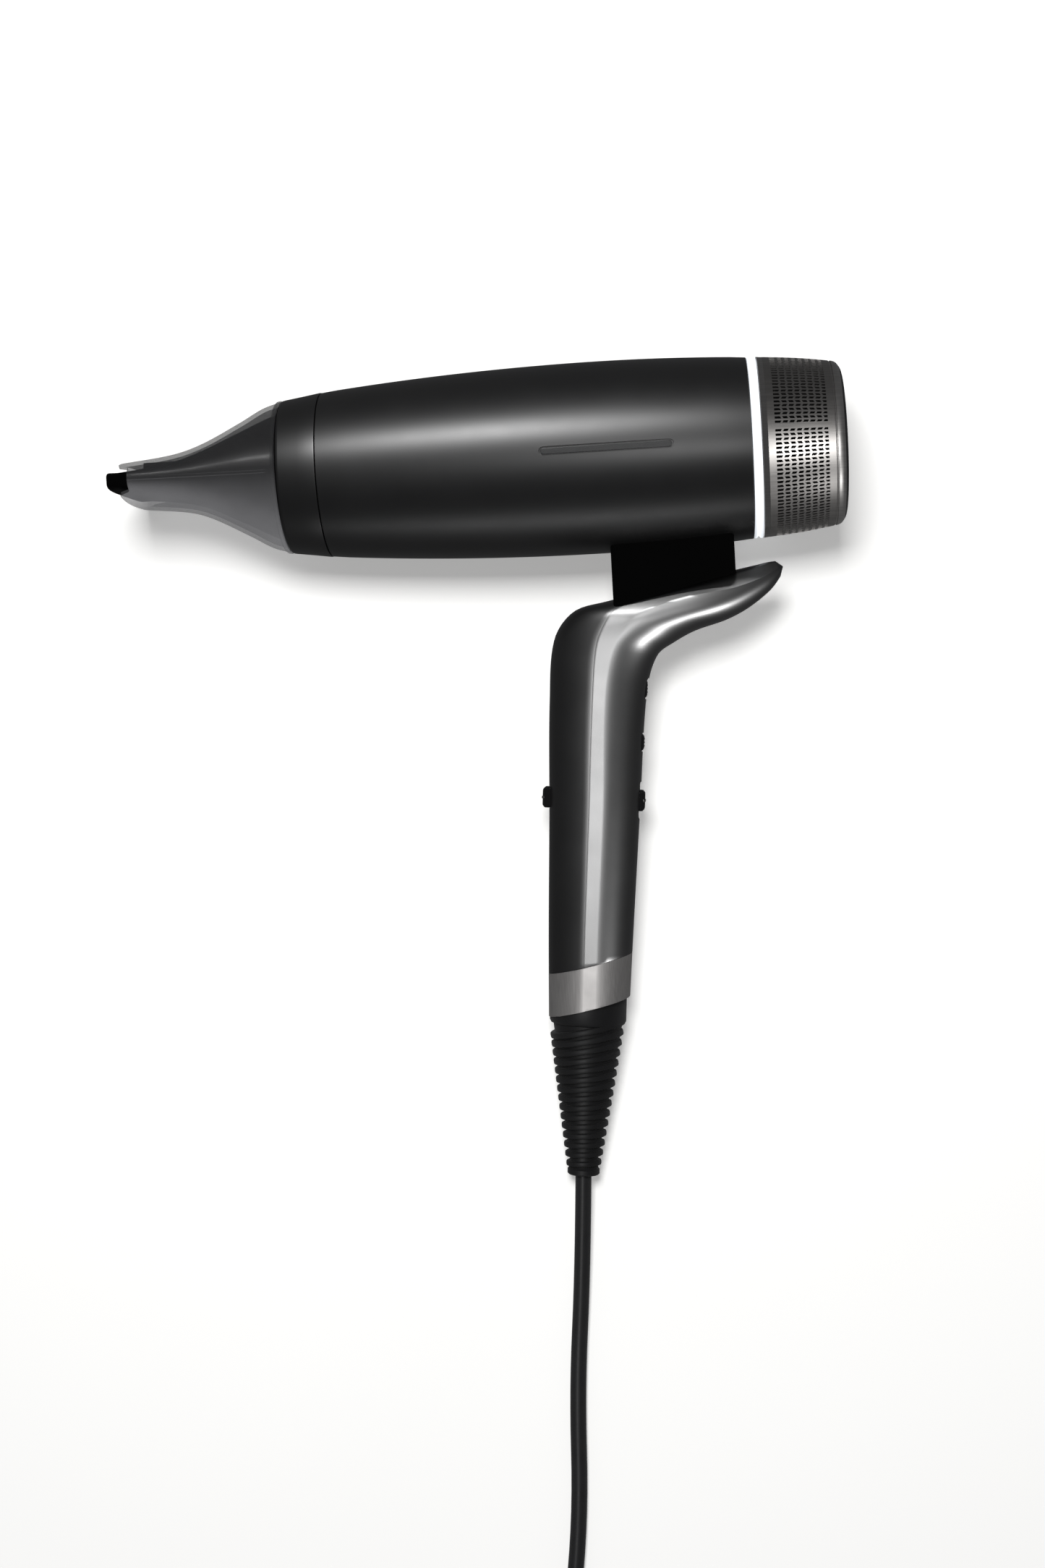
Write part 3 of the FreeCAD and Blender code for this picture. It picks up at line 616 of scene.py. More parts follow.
@dataclass(frozen=True)
class SmokeResin(Recipe):
    """Smoke-grey, slightly clear nozzle plastic with a mould line along each side."""

    colour: Triple = (0.024, 0.024, 0.025)
    clarity: float = 0.50
    line_at: float = 0.55
    line_width: float = 0.13
    line_from: Pair = (-158.0, -160.0)

    def dress(self, shader: Shader) -> None:
        """Lays the mould line, clouds and grain into the shader."""
        along, up, _ = shader.parts(shader.local(AXES.dryer))
        clouds, grain = shader.noise(14.0), shader.noise(0.5, 4)
        offset = (up.math("ABSOLUTE") - self.line_at * MM).math("ABSOLUTE")
        line = offset.ramp(self.line_width * MM, 0.0) * along.ramp(*(at * MM for at in self.line_from))
        shader.set(
            Base_Color=shader.blend(clouds * 0.3 + line * 0.7, self.colour, scaled(self.colour, 2.4)),
            Roughness=0.3 + clouds * 0.08 + grain * 0.04,
            Alpha=self.clarity + clouds * 0.05 + line * 0.15,
            Coat_Weight=0.3,
            Coat_Roughness=0.15,
            IOR=1.5,
        )
        shader.relief(grain * 0.1 + line, 0.05)


@dataclass(frozen=True)
class BrushedMetal(Recipe):
    """Metal brushed along one direction, with soft smudges."""

    colour: Triple
    roughness: float
    stretch: Triple = (1, 40, 1)
    line: float = 12.0
    metal: float = 1.0

    def dress(self, shader: Shader) -> None:
        """Lays the brush lines and smudges into the shader."""
        brushed = shader.local(AXES.dryer, tuple(1 / s for s in self.stretch))
        lines, smudge = shader.noise(self.line, 5, brushed), shader.noise(9.0)
        shader.set(
            Base_Color=shader.blend(lines, scaled(self.colour, 0.7), scaled(self.colour, 1.35)),
            Metallic=self.metal,
            Roughness=lines * 0.14 + smudge * 0.1 + (self.roughness - 0.12),
        )
        shader.relief(lines, 0.003)


@dataclass(frozen=True)
class GlowRing(Recipe):
    """Milky light guide lit from behind, a little brighter towards its middle line."""

    colour: Triple = (0.86, 0.9, 0.95)
    strength: float = 0.9
    middle: float = 32.1

    def dress(self, shader: Shader) -> None:
        """Lays the glow into the shader."""
        along, _, _ = shader.parts(shader.local(AXES.dryer))
        edge = (along - self.middle * MM).math("ABSOLUTE").ramp(0.3 * MM, 1.8 * MM)
        clouds = shader.noise(6.0)
        shader.set(
            Base_Color=shader.blend(clouds, (0.78, 0.8, 0.82), (0.9, 0.92, 0.94)),
            Roughness=0.3 + clouds * 0.1,
            Emission_Color=shader.blend(edge, self.colour, scaled(self.colour, 0.75)),
            Emission_Strength=self.strength,
        )


@dataclass(frozen=True)
class WovenInlay(Recipe):
    """Fine twill weave of the badge."""

    dark: Triple = (0.003, 0.003, 0.003)
    light: Triple = (0.03, 0.031, 0.032)
    pitch: float = 0.62

    def dress(self, shader: Shader) -> None:
        """Lays the crossing threads into the shader."""
        along, up, _ = shader.parts(shader.local(AXES.dryer))
        turns = 2 * math.pi / (self.pitch * MM)
        warp = ((along + up) * turns).math("SINE")
        weft = ((along - up) * (turns * 0.5)).math("SINE")
        weave = (warp * weft * 0.5 + 0.5) * 0.75 + shader.noise(0.5) * 0.25
        shader.set(
            Base_Color=shader.blend(weave, self.dark, self.light),
            Roughness=0.45 - weave * 0.15,
            Specular_IOR_Level=0.25,
        )
        shader.relief(weave, 0.03)


@dataclass(frozen=True)
class Rubber(Recipe):
    """Matt moulded rubber or vinyl with a dry bloom."""

    colour: Triple = (0.004, 0.004, 0.0043)
    roughness: float = 0.48
    grain: float = 0.6

    def dress(self, shader: Shader) -> None:
        """Lays bloom, grain and pores into the shader."""
        clouds, grain, pores = shader.noise(7.0), shader.noise(self.grain, 4), shader.cells(0.9)
        shader.set(
            Base_Color=shader.blend(clouds * 0.7 + grain * 0.3, self.colour, scaled(self.colour, 2.2)),
            Roughness=clouds * 0.12 + grain * 0.08 + (self.roughness - 0.1),
            Sheen_Weight=0.05,
        )
        shader.relief(grain + pores * 0.4, 0.012)


@dataclass(frozen=True)
class LoopStrap(Recipe):
    """Hook and loop strap: short fuzzy loops in rows."""

    colour: Triple = (0.02, 0.02, 0.022)

    def dress(self, shader: Shader) -> None:
        """Lays the loops into the shader."""
        loops, fuzz = shader.cells(0.8), shader.noise(0.3, 5)
        shader.set(
            Base_Color=shader.blend(loops, self.colour, scaled(self.colour, 3)),
            Roughness=0.8 + fuzz * 0.15,
            Sheen_Weight=0.4,
        )
        shader.relief(loops * 0.7 + fuzz * 0.3, 0.25)


@dataclass(frozen=True)
class WovenMesh(Recipe):
    """Fine wire cloth: crossing wires with dark gaps between them."""

    colour: Triple = (0.03, 0.03, 0.032)
    pitch: float = 0.5

    def dress(self, shader: Shader) -> None:
        """Lays the crossing wires into the shader."""
        along, up, out = shader.parts(shader.local(AXES.dryer))
        turns = 2 * math.pi / (self.pitch * MM)
        weave = (along * turns).math("SINE") * ((up + out) * turns).math("SINE") * 0.5 + 0.5
        wires = weave.ramp(0.35, 0.7)
        shader.set(
            Base_Color=shader.blend(wires, (0.006, 0.006, 0.006), self.colour),
            Metallic=wires,
            Roughness=0.5 - weave * 0.1,
        )
        shader.relief(weave, 0.08)


@dataclass(frozen=True)
class CircuitBoard(Recipe):
    """Lacquered glass-fibre board with pale tracks."""

    colour: Triple = (0.012, 0.075, 0.03)

    def dress(self, shader: Shader) -> None:
        """Lays the tracks into the shader."""
        tracks, cloth = shader.cells(3.2).ramp(0.55, 0.6), shader.noise(0.5)
        shader.set(
            Base_Color=shader.blend(tracks * 0.7 + cloth * 0.3, self.colour, scaled(self.colour, 2.5)),
            Roughness=0.35 + cloth * 0.1,
        )
        shader.relief(tracks + cloth * 0.2, 0.03)


class Palette:
    """Every finish of the dryer, made once."""

    def __init__(self) -> None:
        """Makes the finishes."""
        black = (0.004, 0.004, 0.0043)
        self.body = MouldedPlastic(black, 0.40).material("body_black")
        self.grip = MouldedPlastic(black, 0.37).material("grip_black")
        self.matt = MouldedPlastic((0.0015, 0.0015, 0.0015), 0.6, depth=0.01, shine=0.05).material("matt_black")
        self.smoke = SmokeResin().material("smoke_resin")
        self.grille = BrushedMetal((0.3, 0.289, 0.28), 0.42).material("grille_metal")
        self.trim = BrushedMetal((0.42, 0.41, 0.40), 0.40).material("trim_metal")
        self.band = BrushedMetal((0.34, 0.33, 0.325), 0.56, (40, 1, 40), metal=0.8).material("band_metal")
        self.light = GlowRing().material("light_guide")
        self.weave = WovenInlay().material("badge_weave")
        self.rubber = Rubber().material("ribbed_rubber")
        self.sheath = Rubber((0.009, 0.009, 0.0095), 0.42, 1.2).material("lead_sheath")
        self.strap = LoopStrap().material("tie_strap")
        self.pins = BrushedMetal((0.72, 0.7, 0.64), 0.22, (20, 1, 1)).material("pin_metal")
        self.wire_cloth = WovenMesh().material("wire_cloth")


# Studio


class Reach(Enum):
    """What a light does to surfaces: it fills them, or it only shows as a sheen."""

    FILL = "fill"
    SHEEN = "sheen"


@dataclass(frozen=True)
class Softbox:
    """One rectangular light, placed in the dryer's axes.

    Where `pieces` names any, it lights only those.
    """

    name: str
    place: Triple
    target: Triple
    long_way: Triple
    length: float
    width: float
    power: float
    reach: Reach
    pieces: tuple[str, ...] = ()

    def hang(self) -> Piece:
        """Hangs the light so that it faces its target.

        Returns:
            The light.
        """
        clear_bench()
        place, target = (AXES.dryer @ (Vector(point) * MM) for point in (self.place, self.target))
        back = (place - target).normalized()
        along = AXES.dryer.to_3x3() @ Vector(self.long_way)
        along = (along - back * along.dot(back)).normalized()
        turn = Axes.placed(along, back.cross(along), back, place).to_euler()
        bpy.ops.object.light_add(type="AREA", location=place, rotation=turn)
        light = bpy.context.object
        light.name = light.data.name = self.name
        light.data.shape = "RECTANGLE"
        light.data.size, light.data.size_y = self.length * MM, self.width * MM
        light.data.energy = self.power
        light.visible_diffuse = self.reach is Reach.FILL
        light.visible_glossy = self.reach is Reach.SHEEN
        if self.pieces:
            lit = bpy.data.collections.new(self.name + "_pieces")
            for name in self.pieces:
                lit.objects.link(bpy.data.objects[name])
            light.light_linking.receiver_collection = lit
        return light


GRIP = ("grip_front", "grip_rear")
BAND, RUBBER = ("foot_band",), ("ribbed_relief", "mains_lead")
BARREL = ("barrel_skin", "nozzle_collar", "woven_badge")
NOZZLE = ("nozzle_shell",)
INLET = ("perforated_sleeve", "rear_trim_ring", "rear_grille_cap")
X_WAY, Y_WAY = (1.0, 0.0, 0.0), (0.0, 1.0, 0.0)


@dataclass
class Studio:
    """Pale floor, soft lights and the camera."""

    eye: Triple = (0.0, -93.5, 880.0)
    aim: Triple = (-67.4, -128.3, 0.0)
    up: Triple = (0.0553, 0.9985, 0.0)
    lens: float = 50.4
    floor_size: float = 9.0
    ambient: float = 0.11
    floor_glow: float = 0.35
    boxes: tuple[Softbox, ...] = (
        Softbox("fill_box", (-95, 330, 1190), (-60, -60, 0), X_WAY, 380, 380, 13.5, Reach.FILL),
        Softbox("barrel_strip", (-230, 680, 1000), (-100, 0, 0), X_WAY, 340, 60, 18.0, Reach.SHEEN, BARREL),
        Softbox("barrel_end_box", (90, -20, 1200), (20, 0, 35), X_WAY, 110, 60, 3.5, Reach.SHEEN, BARREL),
        Softbox("low_strip", (-60, -800, 140), (-40, -20, 20), X_WAY, 500, 60, 0.9, Reach.SHEEN, BARREL),
        Softbox("nozzle_box", (-190, -850, 66), (-190, 0, 0), X_WAY, 200, 60, 75.0, Reach.FILL, NOZZLE),
        Softbox("nozzle_strip", (-420, 560, 1040), (-180, 0, 0), X_WAY, 300, 70, 1.8, Reach.SHEEN, NOZZLE),
        Softbox("grip_strip", (-35, -170, 1200), (-45, -140, 0), Y_WAY, 420, 44, 20.0, Reach.SHEEN, GRIP),
        Softbox("bend_box", (-50, 430, 980), (-25, -66, 16), Y_WAY, 480, 60, 15.0, Reach.SHEEN, GRIP),
        Softbox("tail_box", (-10, 760, 470), (5, -58, 12), X_WAY, 420, 180, 30.0, Reach.SHEEN, GRIP),
        Softbox("under_tail_box", (410, -716, 462), (5, -66, 12), (0.8, 0.5, 0), 260, 150, 26.0, Reach.SHEEN, GRIP),
        Softbox("band_box", (-120, -330, 1150), (-45, -215, 0), Y_WAY, 300, 160, 9.0, Reach.SHEEN, BAND),
        Softbox("rubber_box", (-260, -330, 1150), (-45, -215, 0), Y_WAY, 300, 160, 2.0, Reach.SHEEN, RUBBER),
        Softbox("inlet_box", (393, -230, 1180), (50, 0, 35), Y_WAY, 420, 240, 9.0, Reach.SHEEN, INLET),
        Softbox("inlet_low_box", (560, -820, 420), (60, -20, 20), Y_WAY, 260, 200, 2.5, Reach.SHEEN, INLET),
    )

    def build(self) -> None:
        """Sets the floor, world and camera up."""
        self.lay_floor()
        world = bpy.context.scene.world or bpy.data.worlds.new("surroundings")
        bpy.context.scene.world = world
        world.use_nodes = True
        background = world.node_tree.nodes["Background"]
        background.inputs["Color"].default_value = (0.97, 0.98, 1.0, 1)
        background.inputs["Strength"].default_value = self.ambient
        bpy.context.scene.view_settings.view_transform = "Standard"
        self.place_camera()

    def hang_lights(self) -> None:
        """Hangs every light, once the pieces that they fall on are there."""
        for box in self.boxes:
            box.hang()

    def lay_floor(self) -> None:
        """Lays the pale sweep that the dryer lies on."""
        clear_bench()
        bpy.ops.mesh.primitive_grid_add(x_subdivisions=8, y_subdivisions=8, size=self.floor_size)
        floor = named("floor")
        shader = Shader("floor_paper")
        cloud = shader.noise(400.0)
        shader.set(
            Base_Color=shader.blend(cloud, (0.86, 0.855, 0.84), (0.9, 0.9, 0.89)),
            Roughness=cloud * 0.1 + 0.75,
            Emission_Color=(1.0, 0.995, 0.985, 1),
            Emission_Strength=self.floor_glow,
            Specular_IOR_Level=0.1,
        )
        floor.data.materials.append(shader.material)
        floor.visible_glossy = False

    def place_camera(self) -> None:
        """Places the camera over the dryer."""
        clear_bench()
        eye, aim = (AXES.dryer @ (Vector(point) * MM) for point in (self.eye, self.aim))
        back = (eye - aim).normalized()
        right = (AXES.dryer.to_3x3() @ Vector(self.up)).cross(back).normalized()
        matrix = Axes.placed(right, back.cross(right), back, eye)
        bpy.ops.object.camera_add(location=eye, rotation=matrix.to_euler())
        camera = bpy.context.object
        camera.name = camera.data.name = "camera"
        camera.data.sensor_fit = "VERTICAL"
        camera.data.sensor_height = 36
        camera.data.lens = self.lens
        camera.data.clip_start, camera.data.clip_end = 0.01, 50
        bpy.context.scene.camera = camera


# Mains lead


@dataclass
class MainsLead:
    """Mains lead from the strain relief to its plug, with what doesn't show coiled and tied."""

    palette: Palette
    radius: float = 3.25
    length: float = 2.8
    route: tuple[Triple, ...] = (
        (24.2, -201.0, 4.6),
        (19.6, -248.0, 3.5),
        (18.6, -298.0, 3.5),
        (12.2, -343.0, 3.9),
        (10.0, -390.0, 4.25),
    )
    relief_end: Triple = (0.0, -66.45, 0.0)
    middle: Pair = (52.5, -405.0)
    column_radii: tuple[float, ...] = (42.5, 36.0, 29.5)
    layers: int = 4
    lift: float = 1.0
    points_per_turn: int = 12
    points_before_shift: int = 8
    plug_at: Triple = (110.5, -447.5, 13.1)
    tail: tuple[Triple, ...] = ((-46, -1.2, 10.2), (-32, 0, 5.0), (-18, 0, 0.4), (-8, 0, 0), (2, 0, 0))
    plug_half: Pair = (17.65, 13.0)
    plug_stops: tuple[float, ...] = (0, 6, 12, 18, 24, 28, 37, 39.4, 40)
    plug_sizes: tuple[Pair, ...] = (
        (8, 7), (8.4, 7.4), (9.6, 8.2), (12, 9.8), (15.6, 11.8), (17.4, 12.8), (17.65, 13.0), (17.2, 12.5), (15.6, 11),
    )
    plug_ribs: int = 4
    pin_radius: float = 2.4
    pin_length: float = 19.0
    pin_reach: float = 9.5
    tie_turn: float = 55.0
    tie_width: float = 26.0
    tie_wall: float = 0.8

    def build(self) -> None:
        pieces = [self.make_plug(), self.make_pins(), self.make_tie()]
        lead = self.make_lead()
        declare(lead, "housing", ("cord_lead", "cord_coil", "cord_tail"))

    def exit_point(self) -> Vector:
        """Where the lead leaves the strain relief, in metres."""
        return AXES.handle @ (Vector(self.relief_end) * MM)

    def coil(self) -> list[Vector]:
        """Points of the put-away turns, in millimetres.

        The curve runs inside its points, so they lie further out than the columns by `spread`.

        Returns:
            Points that wind down and up through the columns, layer by layer, and leave
            the outer column a quarter turn further on.
        """
        step = 2 * math.pi / self.points_per_turn
        spread = 8 / (6 + 2 * math.cos(step))
        turns: list[Pair] = []
        for layer in range(self.layers):
            height = self.lift + self.radius * (1 + 2 * layer)
            columns = self.column_radii if layer % 2 == 0 else self.column_radii[::-1]
            turns += [(column, height) for column in columns]
        points = []
        last = (len(turns) - 1) * self.points_per_turn + self.points_per_turn // 4
        for index in range(last + 1):
            turn, part = divmod(index, self.points_per_turn)
            following = turns[min(turn + 1, len(turns) - 1)]
            shift = max(0, part - self.points_before_shift) / (self.points_per_turn - self.points_before_shift)
            column, height = (a + (b - a) * shift for a, b in zip(turns[turn], following))
            angle = math.pi + step * index
            reach = column * spread
            along, across = self.middle[0] + reach * math.cos(angle), self.middle[1] + reach * math.sin(angle)
            points.append(Vector((along, across, height)))
        return points

    def make_lead(self) -> Piece:
        """Makes the lead as one smooth curve.

        Returns:
            The curve.
        """
        tail = [Vector(self.plug_at) + Vector(offset) for offset in self.tail]
        points = [self.exit_point()]
        points += [Vector(point) * MM for point in (*self.route, *self.coil(), *tail)]
        curve = bpy.data.curves.new("mains_lead", "CURVE")
        curve.dimensions = "3D"
        curve.bevel_depth = self.radius * MM
        curve.bevel_resolution = 4
        curve.resolution_u = 6
        curve.use_fill_caps = True
        spline = curve.splines.new("NURBS")
        spline.points.add(len(points) - 1)
        for knot, point in zip(spline.points, points):
            knot.co = (*point, 1)
        spline.order_u = 3
        spline.use_endpoint_u = True
        lead = bpy.data.objects.new("mains_lead", curve)
        bpy.context.scene.collection.objects.link(lead)
        curve.materials.append(self.palette.sheath)
        return lead

    def plug_place(self) -> Matrix:
        """Where the plug's own axes lie."""
        return Matrix.Translation(Vector(self.plug_at) * MM)

    def make_plug(self) -> Piece:
        """Makes the moulded plug with its ribbed collar and its grip.

        Returns:
            The plug.
        """
        half_wide, half_high = self.plug_half
        length = self.plug_stops[-1]

        def side(share: float, turn: float) -> Vector:
            """Point of the plug's outside."""
            wide, high = eased(self.plug_stops, self.plug_sizes, share * length)
            across, up = squircle(turn * 2 * math.pi, 3.2)
            return Vector((share * length, across * min(wide, half_wide), up * min(high, half_high)))

        body = filled(skin("plug_grip", 40, 64, side))
        ribs = []
        for index in range(self.plug_ribs):
            start, wide, high = 3 + 3.4 * index, 9.2 + 0.45 * index, 8 + 0.25 * index
            rib = block("rib", (start, -wide, -high), (start + 1.6, wide, high), 0.7)
            ribs.append(softened(rib, 0.2))
        plug = joined("mains_plug", [body, *ribs])
        return mounted(plug, self.palette.rubber, "housing", ("plug_body",), self.plug_place())

    def make_pins(self) -> Piece:
        """Makes the two round pins with their domed tips.

        Returns:
            The pins.
        """
        tip, start = self.pin_radius, self.plug_stops[-1]
        end = start + self.pin_length
        profile = [(start, tip), (end - 1.6, tip), (end - 0.7, tip * 0.9), (end - 0.15, tip * 0.6), (end, tip * 0.15)]
        pin = lathe("pin", profile, sides=32, capped=True)
        pins = [copied(pin, Matrix.Translation((0, side * self.pin_reach * MM, 0))) for side in (-1, 1)]
        bpy.data.objects.remove(pin)
        pair = joined("plug_pins_pair", pins)
        return mounted(pair, self.palette.pins, "housing", ("plug_pins",), self.plug_place())

    def make_tie(self) -> Piece:
        """Makes the strap round the coil.

        Returns:
            The strap.
        """
        near = min(self.column_radii) - self.radius
        far = max(self.column_radii) + self.radius
        low, high = self.lift, self.lift + 2 * self.radius * self.layers
        middle = ((near + far) / 2, (low + high) / 2)
        half = ((far - near) / 2 + 0.1, (high - low) / 2 + 0.1)

        def side(share: float, turn: float) -> Vector:
            """Point of the strap's inside."""
            out, up = squircle(turn * 2 * math.pi, 5.0)
            angle = math.radians(self.tie_turn + (share - 0.5) * self.tie_width)
            reach = middle[0] + out * half[0]
            across = (reach * math.cos(angle), reach * math.sin(angle))
            return Vector((self.middle[0] + across[0], self.middle[1] + across[1], middle[1] + up * half[1]))

        strap = skin("lead_tie", 12, 72, side)
        apply_modifier(strap, "SOLIDIFY", thickness=self.tie_wall * MM, offset=1, use_even_offset=False)
        softened(strap, 0.25)
        return mounted(strap, self.palette.strap, "housing", ("cord_tie",), Matrix.Identity(4))


# Barrel


@dataclass(frozen=True)
class Ring:
    """One turned piece: its name, solid, finish, slot (not used) and (along, radius) profile."""

    name: str
    node: str
    finish: Finish
    slot: str
    profile: Rings
    body: str = "housing"
    capped: bool = False
    angle: float = 35

    def build(self) -> None:
        """Turns the piece and lays it down."""
        piece = lathe(self.name, self.profile, 160, closed=not self.capped, capped=self.capped)
        mounted(piece, self.finish, self.body, (self.node,), angle=self.angle)


@dataclass
class Barrel:
    """Barrel skin, front collar, lit ring and badge."""

    palette: Palette
    widest: float = -31.5
    radius: float = 37.9
    front: float = -138.7
    rear: float = 30.2
    front_arc: float = 1123.0
    rear_arc: float = 867.0
    wall: float = 2.2
    steps: int = 26
    badge_middle: float = -25.5
    badge_size: Pair = (51.8, 3.5)
    inlay_size: Pair = (50.6, 2.35)
    inlay_depth: float = 0.35
    slot_floor: float = 36.4
    collar: Rings = (
        (-138.9, 32.3), (-139.1, 32.7), (-139.6, 32.72), (-146, 31.75), (-153.6, 30.68), (-154.4, 30.5),
        (-154.8, 30.1), (-154.8, 28.5), (-154.4, 28.3), (-138.9, 28.3),
    )
    light: Rings = (
        (30.35, 34.9), (30.5, 35.35), (30.9, 35.6), (31.4, 35.4), (32.1, 34.5), (32.8, 35.35),
        (33.3, 35.55), (33.7, 35.35), (33.85, 34.9), (33.8, 33.2), (30.4, 33.2),
    )

    def radius_at(self, along: float) -> float:
        """Outer radius of the barrel at a place along it."""
        arc = self.front_arc if along < self.widest else self.rear_arc
        return self.radius - arc + math.sqrt(arc**2 - (along - self.widest) ** 2)

    def build(self) -> None:
        """Makes every piece of the barrel."""
        self.make_skin()
        Ring("nozzle_collar", "front_collar", self.palette.body, "body_black", self.collar).build()
        Ring("lit_ring", "light_ring", self.palette.light, "light_white", self.light).build()
        self.make_badge()

    def make_skin(self) -> None:
        """Turns the barrel and sinks the badge's slot into it."""
        span = self.rear - self.front
        places = [self.front + span * i / self.steps for i in range(self.steps + 1)]
        outer = [(along, self.radius_at(along)) for along in places]
        inner = [(along, radius - self.wall) for along, radius in outer[::-5]]
        profile = [(self.front, outer[0][1] - 0.5), (self.front + 0.15, outer[0][1] - 0.12), *outer[1:-1]]
        profile += [(self.rear - 0.15, outer[-1][1] - 0.1), (self.rear, outer[-1][1] - 0.5), *inner]
        shell = lathe("barrel_skin", profile, sides=160, closed=True)
        half, rise = self.badge_size[0] / 2, self.badge_size[1] / 2
        low = (self.badge_middle - half, -rise, self.slot_floor)
        high = (self.badge_middle + half, rise, self.radius + 2)
        carved(shell, block("badge_slot", low, high, rise - 0.02, 8, along=2))
        mounted(shell, self.palette.body, "housing", ("barrel_shell",))

    def make_badge(self) -> None:
        """Lays the woven inlay into its slot, following the barrel."""
        length, height = self.inlay_size
        half = length / 2
        round_end = height / 2

        def face(share: float, rise: float) -> Vector:
            """Point of the inlay's face."""
            along = (share - 0.5) * length
            over = max(0.0, abs(along) - (half - round_end))
            up = (rise - 0.5) * 2 * math.sqrt(max(round_end**2 - over**2, 0.0004))
            place = self.badge_middle + along
            reach = self.radius_at(place) - self.inlay_depth
            return Vector((place, up, math.sqrt(reach**2 - up**2)))

        inlay = softened(thickened(skin("woven_badge", 90, 8, face), 1.0), 0.12)
        mounted(inlay, self.palette.weave, "housing", ("badge_inlay",))


# Inlet filter


@dataclass
class InletFilter:
    """Clip-off rear filter: perforated sleeve, bright rear trim and cap."""

    palette: Palette
    front: float = 36.3
    rear: float = 62.0
    front_radius: float = 35.3
    rear_radius: float = 32.35
    around: int = 132
    rows: int = 8
    bridge: float = 0.72
    slant: float = 0.34
    wall: float = 0.6
    plain_from: float = 81.6
    plain_to: float = 84.5
    border: float = 2.4
    trim: Rings = (
        (62.0, 31.9), (62.05, 32.1), (62.3, 32.15), (62.5, 31.8), (62.7, 31.8), (62.9, 32.2), (63.6, 32.1),
        (64.5, 31.75), (65.2, 31.25), (65.8, 30.5), (65.8, 28.2), (62.0, 28.2),
    )
    cap_rim: Rings = (
        (60.5, 28.0), (65.82, 28.0), (65.82, 30.35), (66.3, 29.75), (66.65, 28.95), (66.85, 28.1),
        (66.9, 27.2), (66.88, 25.6), (66.3, 25.3),
    )
    cap_rings: tuple[float, ...] = (24.6, 21.1, 17.6, 14.1, 10.6)
    ring_steps: Rings = ((66.3, 0.0), (66.7, 0.35), (66.7, 1.9), (66.1, 2.2))
    cap_boss: Rings = ((66.0, 6.2), (66.6, 5.8), (66.85, 4.0), (66.88, 0.2))

    def radius_at(self, along: float) -> float:
        """Outer radius of the sleeve at a place along it."""
        share = (along - self.front) / (self.rear - self.front)
        return self.front_radius + (self.rear_radius - self.front_radius) * share + 0.35 * math.sin(math.pi * share)

    def build(self) -> None:
        """Makes every piece of the filter."""
        self.make_sleeve()
        metal, black = self.palette.trim, self.palette.body
        Ring("rear_trim_ring", "filter_rear_trim", metal, "grille_metal", self.trim, "filter").build()
        Ring("rear_grille_cap", "rear_cap", black, "body_black", self.cap(), "filter", True, 28).build()

    def make_sleeve(self) -> None:
        """Punches the sleeve: rows of holes that lean one way and the other, and one plain strip."""
        clear_bench()
        bpy.ops.mesh.primitive_grid_add(x_subdivisions=self.rows, y_subdivisions=self.around, size=1)
        sleeve = named("perforated_sleeve")
        span = self.rear - self.front - 2 * self.border
        for vertex in sleeve.data.vertices:
            row, step = round((vertex.co.x + 0.5) * self.rows), round((vertex.co.y + 0.5) * self.around)
            lean = self.slant * (step % 2) if 0 < row < self.rows else 0.0
            angle = step * (2 * math.pi / self.around)
            along = self.front + self.border + span * (row + lean) / self.rows
            reach = self.radius_at(along)
            vertex.co = Vector((along, reach * math.cos(angle), reach * math.sin(angle))) * MM
        merged(sleeve)

        def punched(face: bpy.types.MeshPolygon) -> bool:
            """Whether a cell of the sleeve gets a hole."""
            return not self.plain_from < math.degrees(math.atan2(face.center.z, face.center.y)) < self.plain_to

        edit_chosen(sleeve, "FACE", sleeve.data.polygons, punched)
        bpy.ops.mesh.inset(thickness=self.bridge / 2 * MM, use_individual=True, use_boundary=True)
        bpy.ops.mesh.delete(type="FACE")
        close_edit()
        thickened(sleeve, self.wall)
        plain = self.border + 0.05
        rims = [self.rim(self.front, self.front + plain), self.rim(self.rear - plain, self.rear)]
        piece = joined("perforated_sleeve", [sleeve, *rims])
        mounted(piece, self.palette.grille, "filter", ("filter_sleeve",))

    def rim(self, start: float, end: float) -> Piece:
        """Plain border of the sleeve between two places."""
        a, b = self.radius_at(start), self.radius_at(end)
        return lathe("rim", [(start, a), (end, b), (end, b - self.wall), (start, a - self.wall)], 142, closed=True)

    def cap(self) -> Rings:
        """Profile of the rear cap, with its rounded rim, rings and middle boss."""
        rings = [(along, outer - drop) for outer in self.cap_rings for along, drop in self.ring_steps]
        return (*self.cap_rim, *rings, *self.cap_boss)


# Nozzle


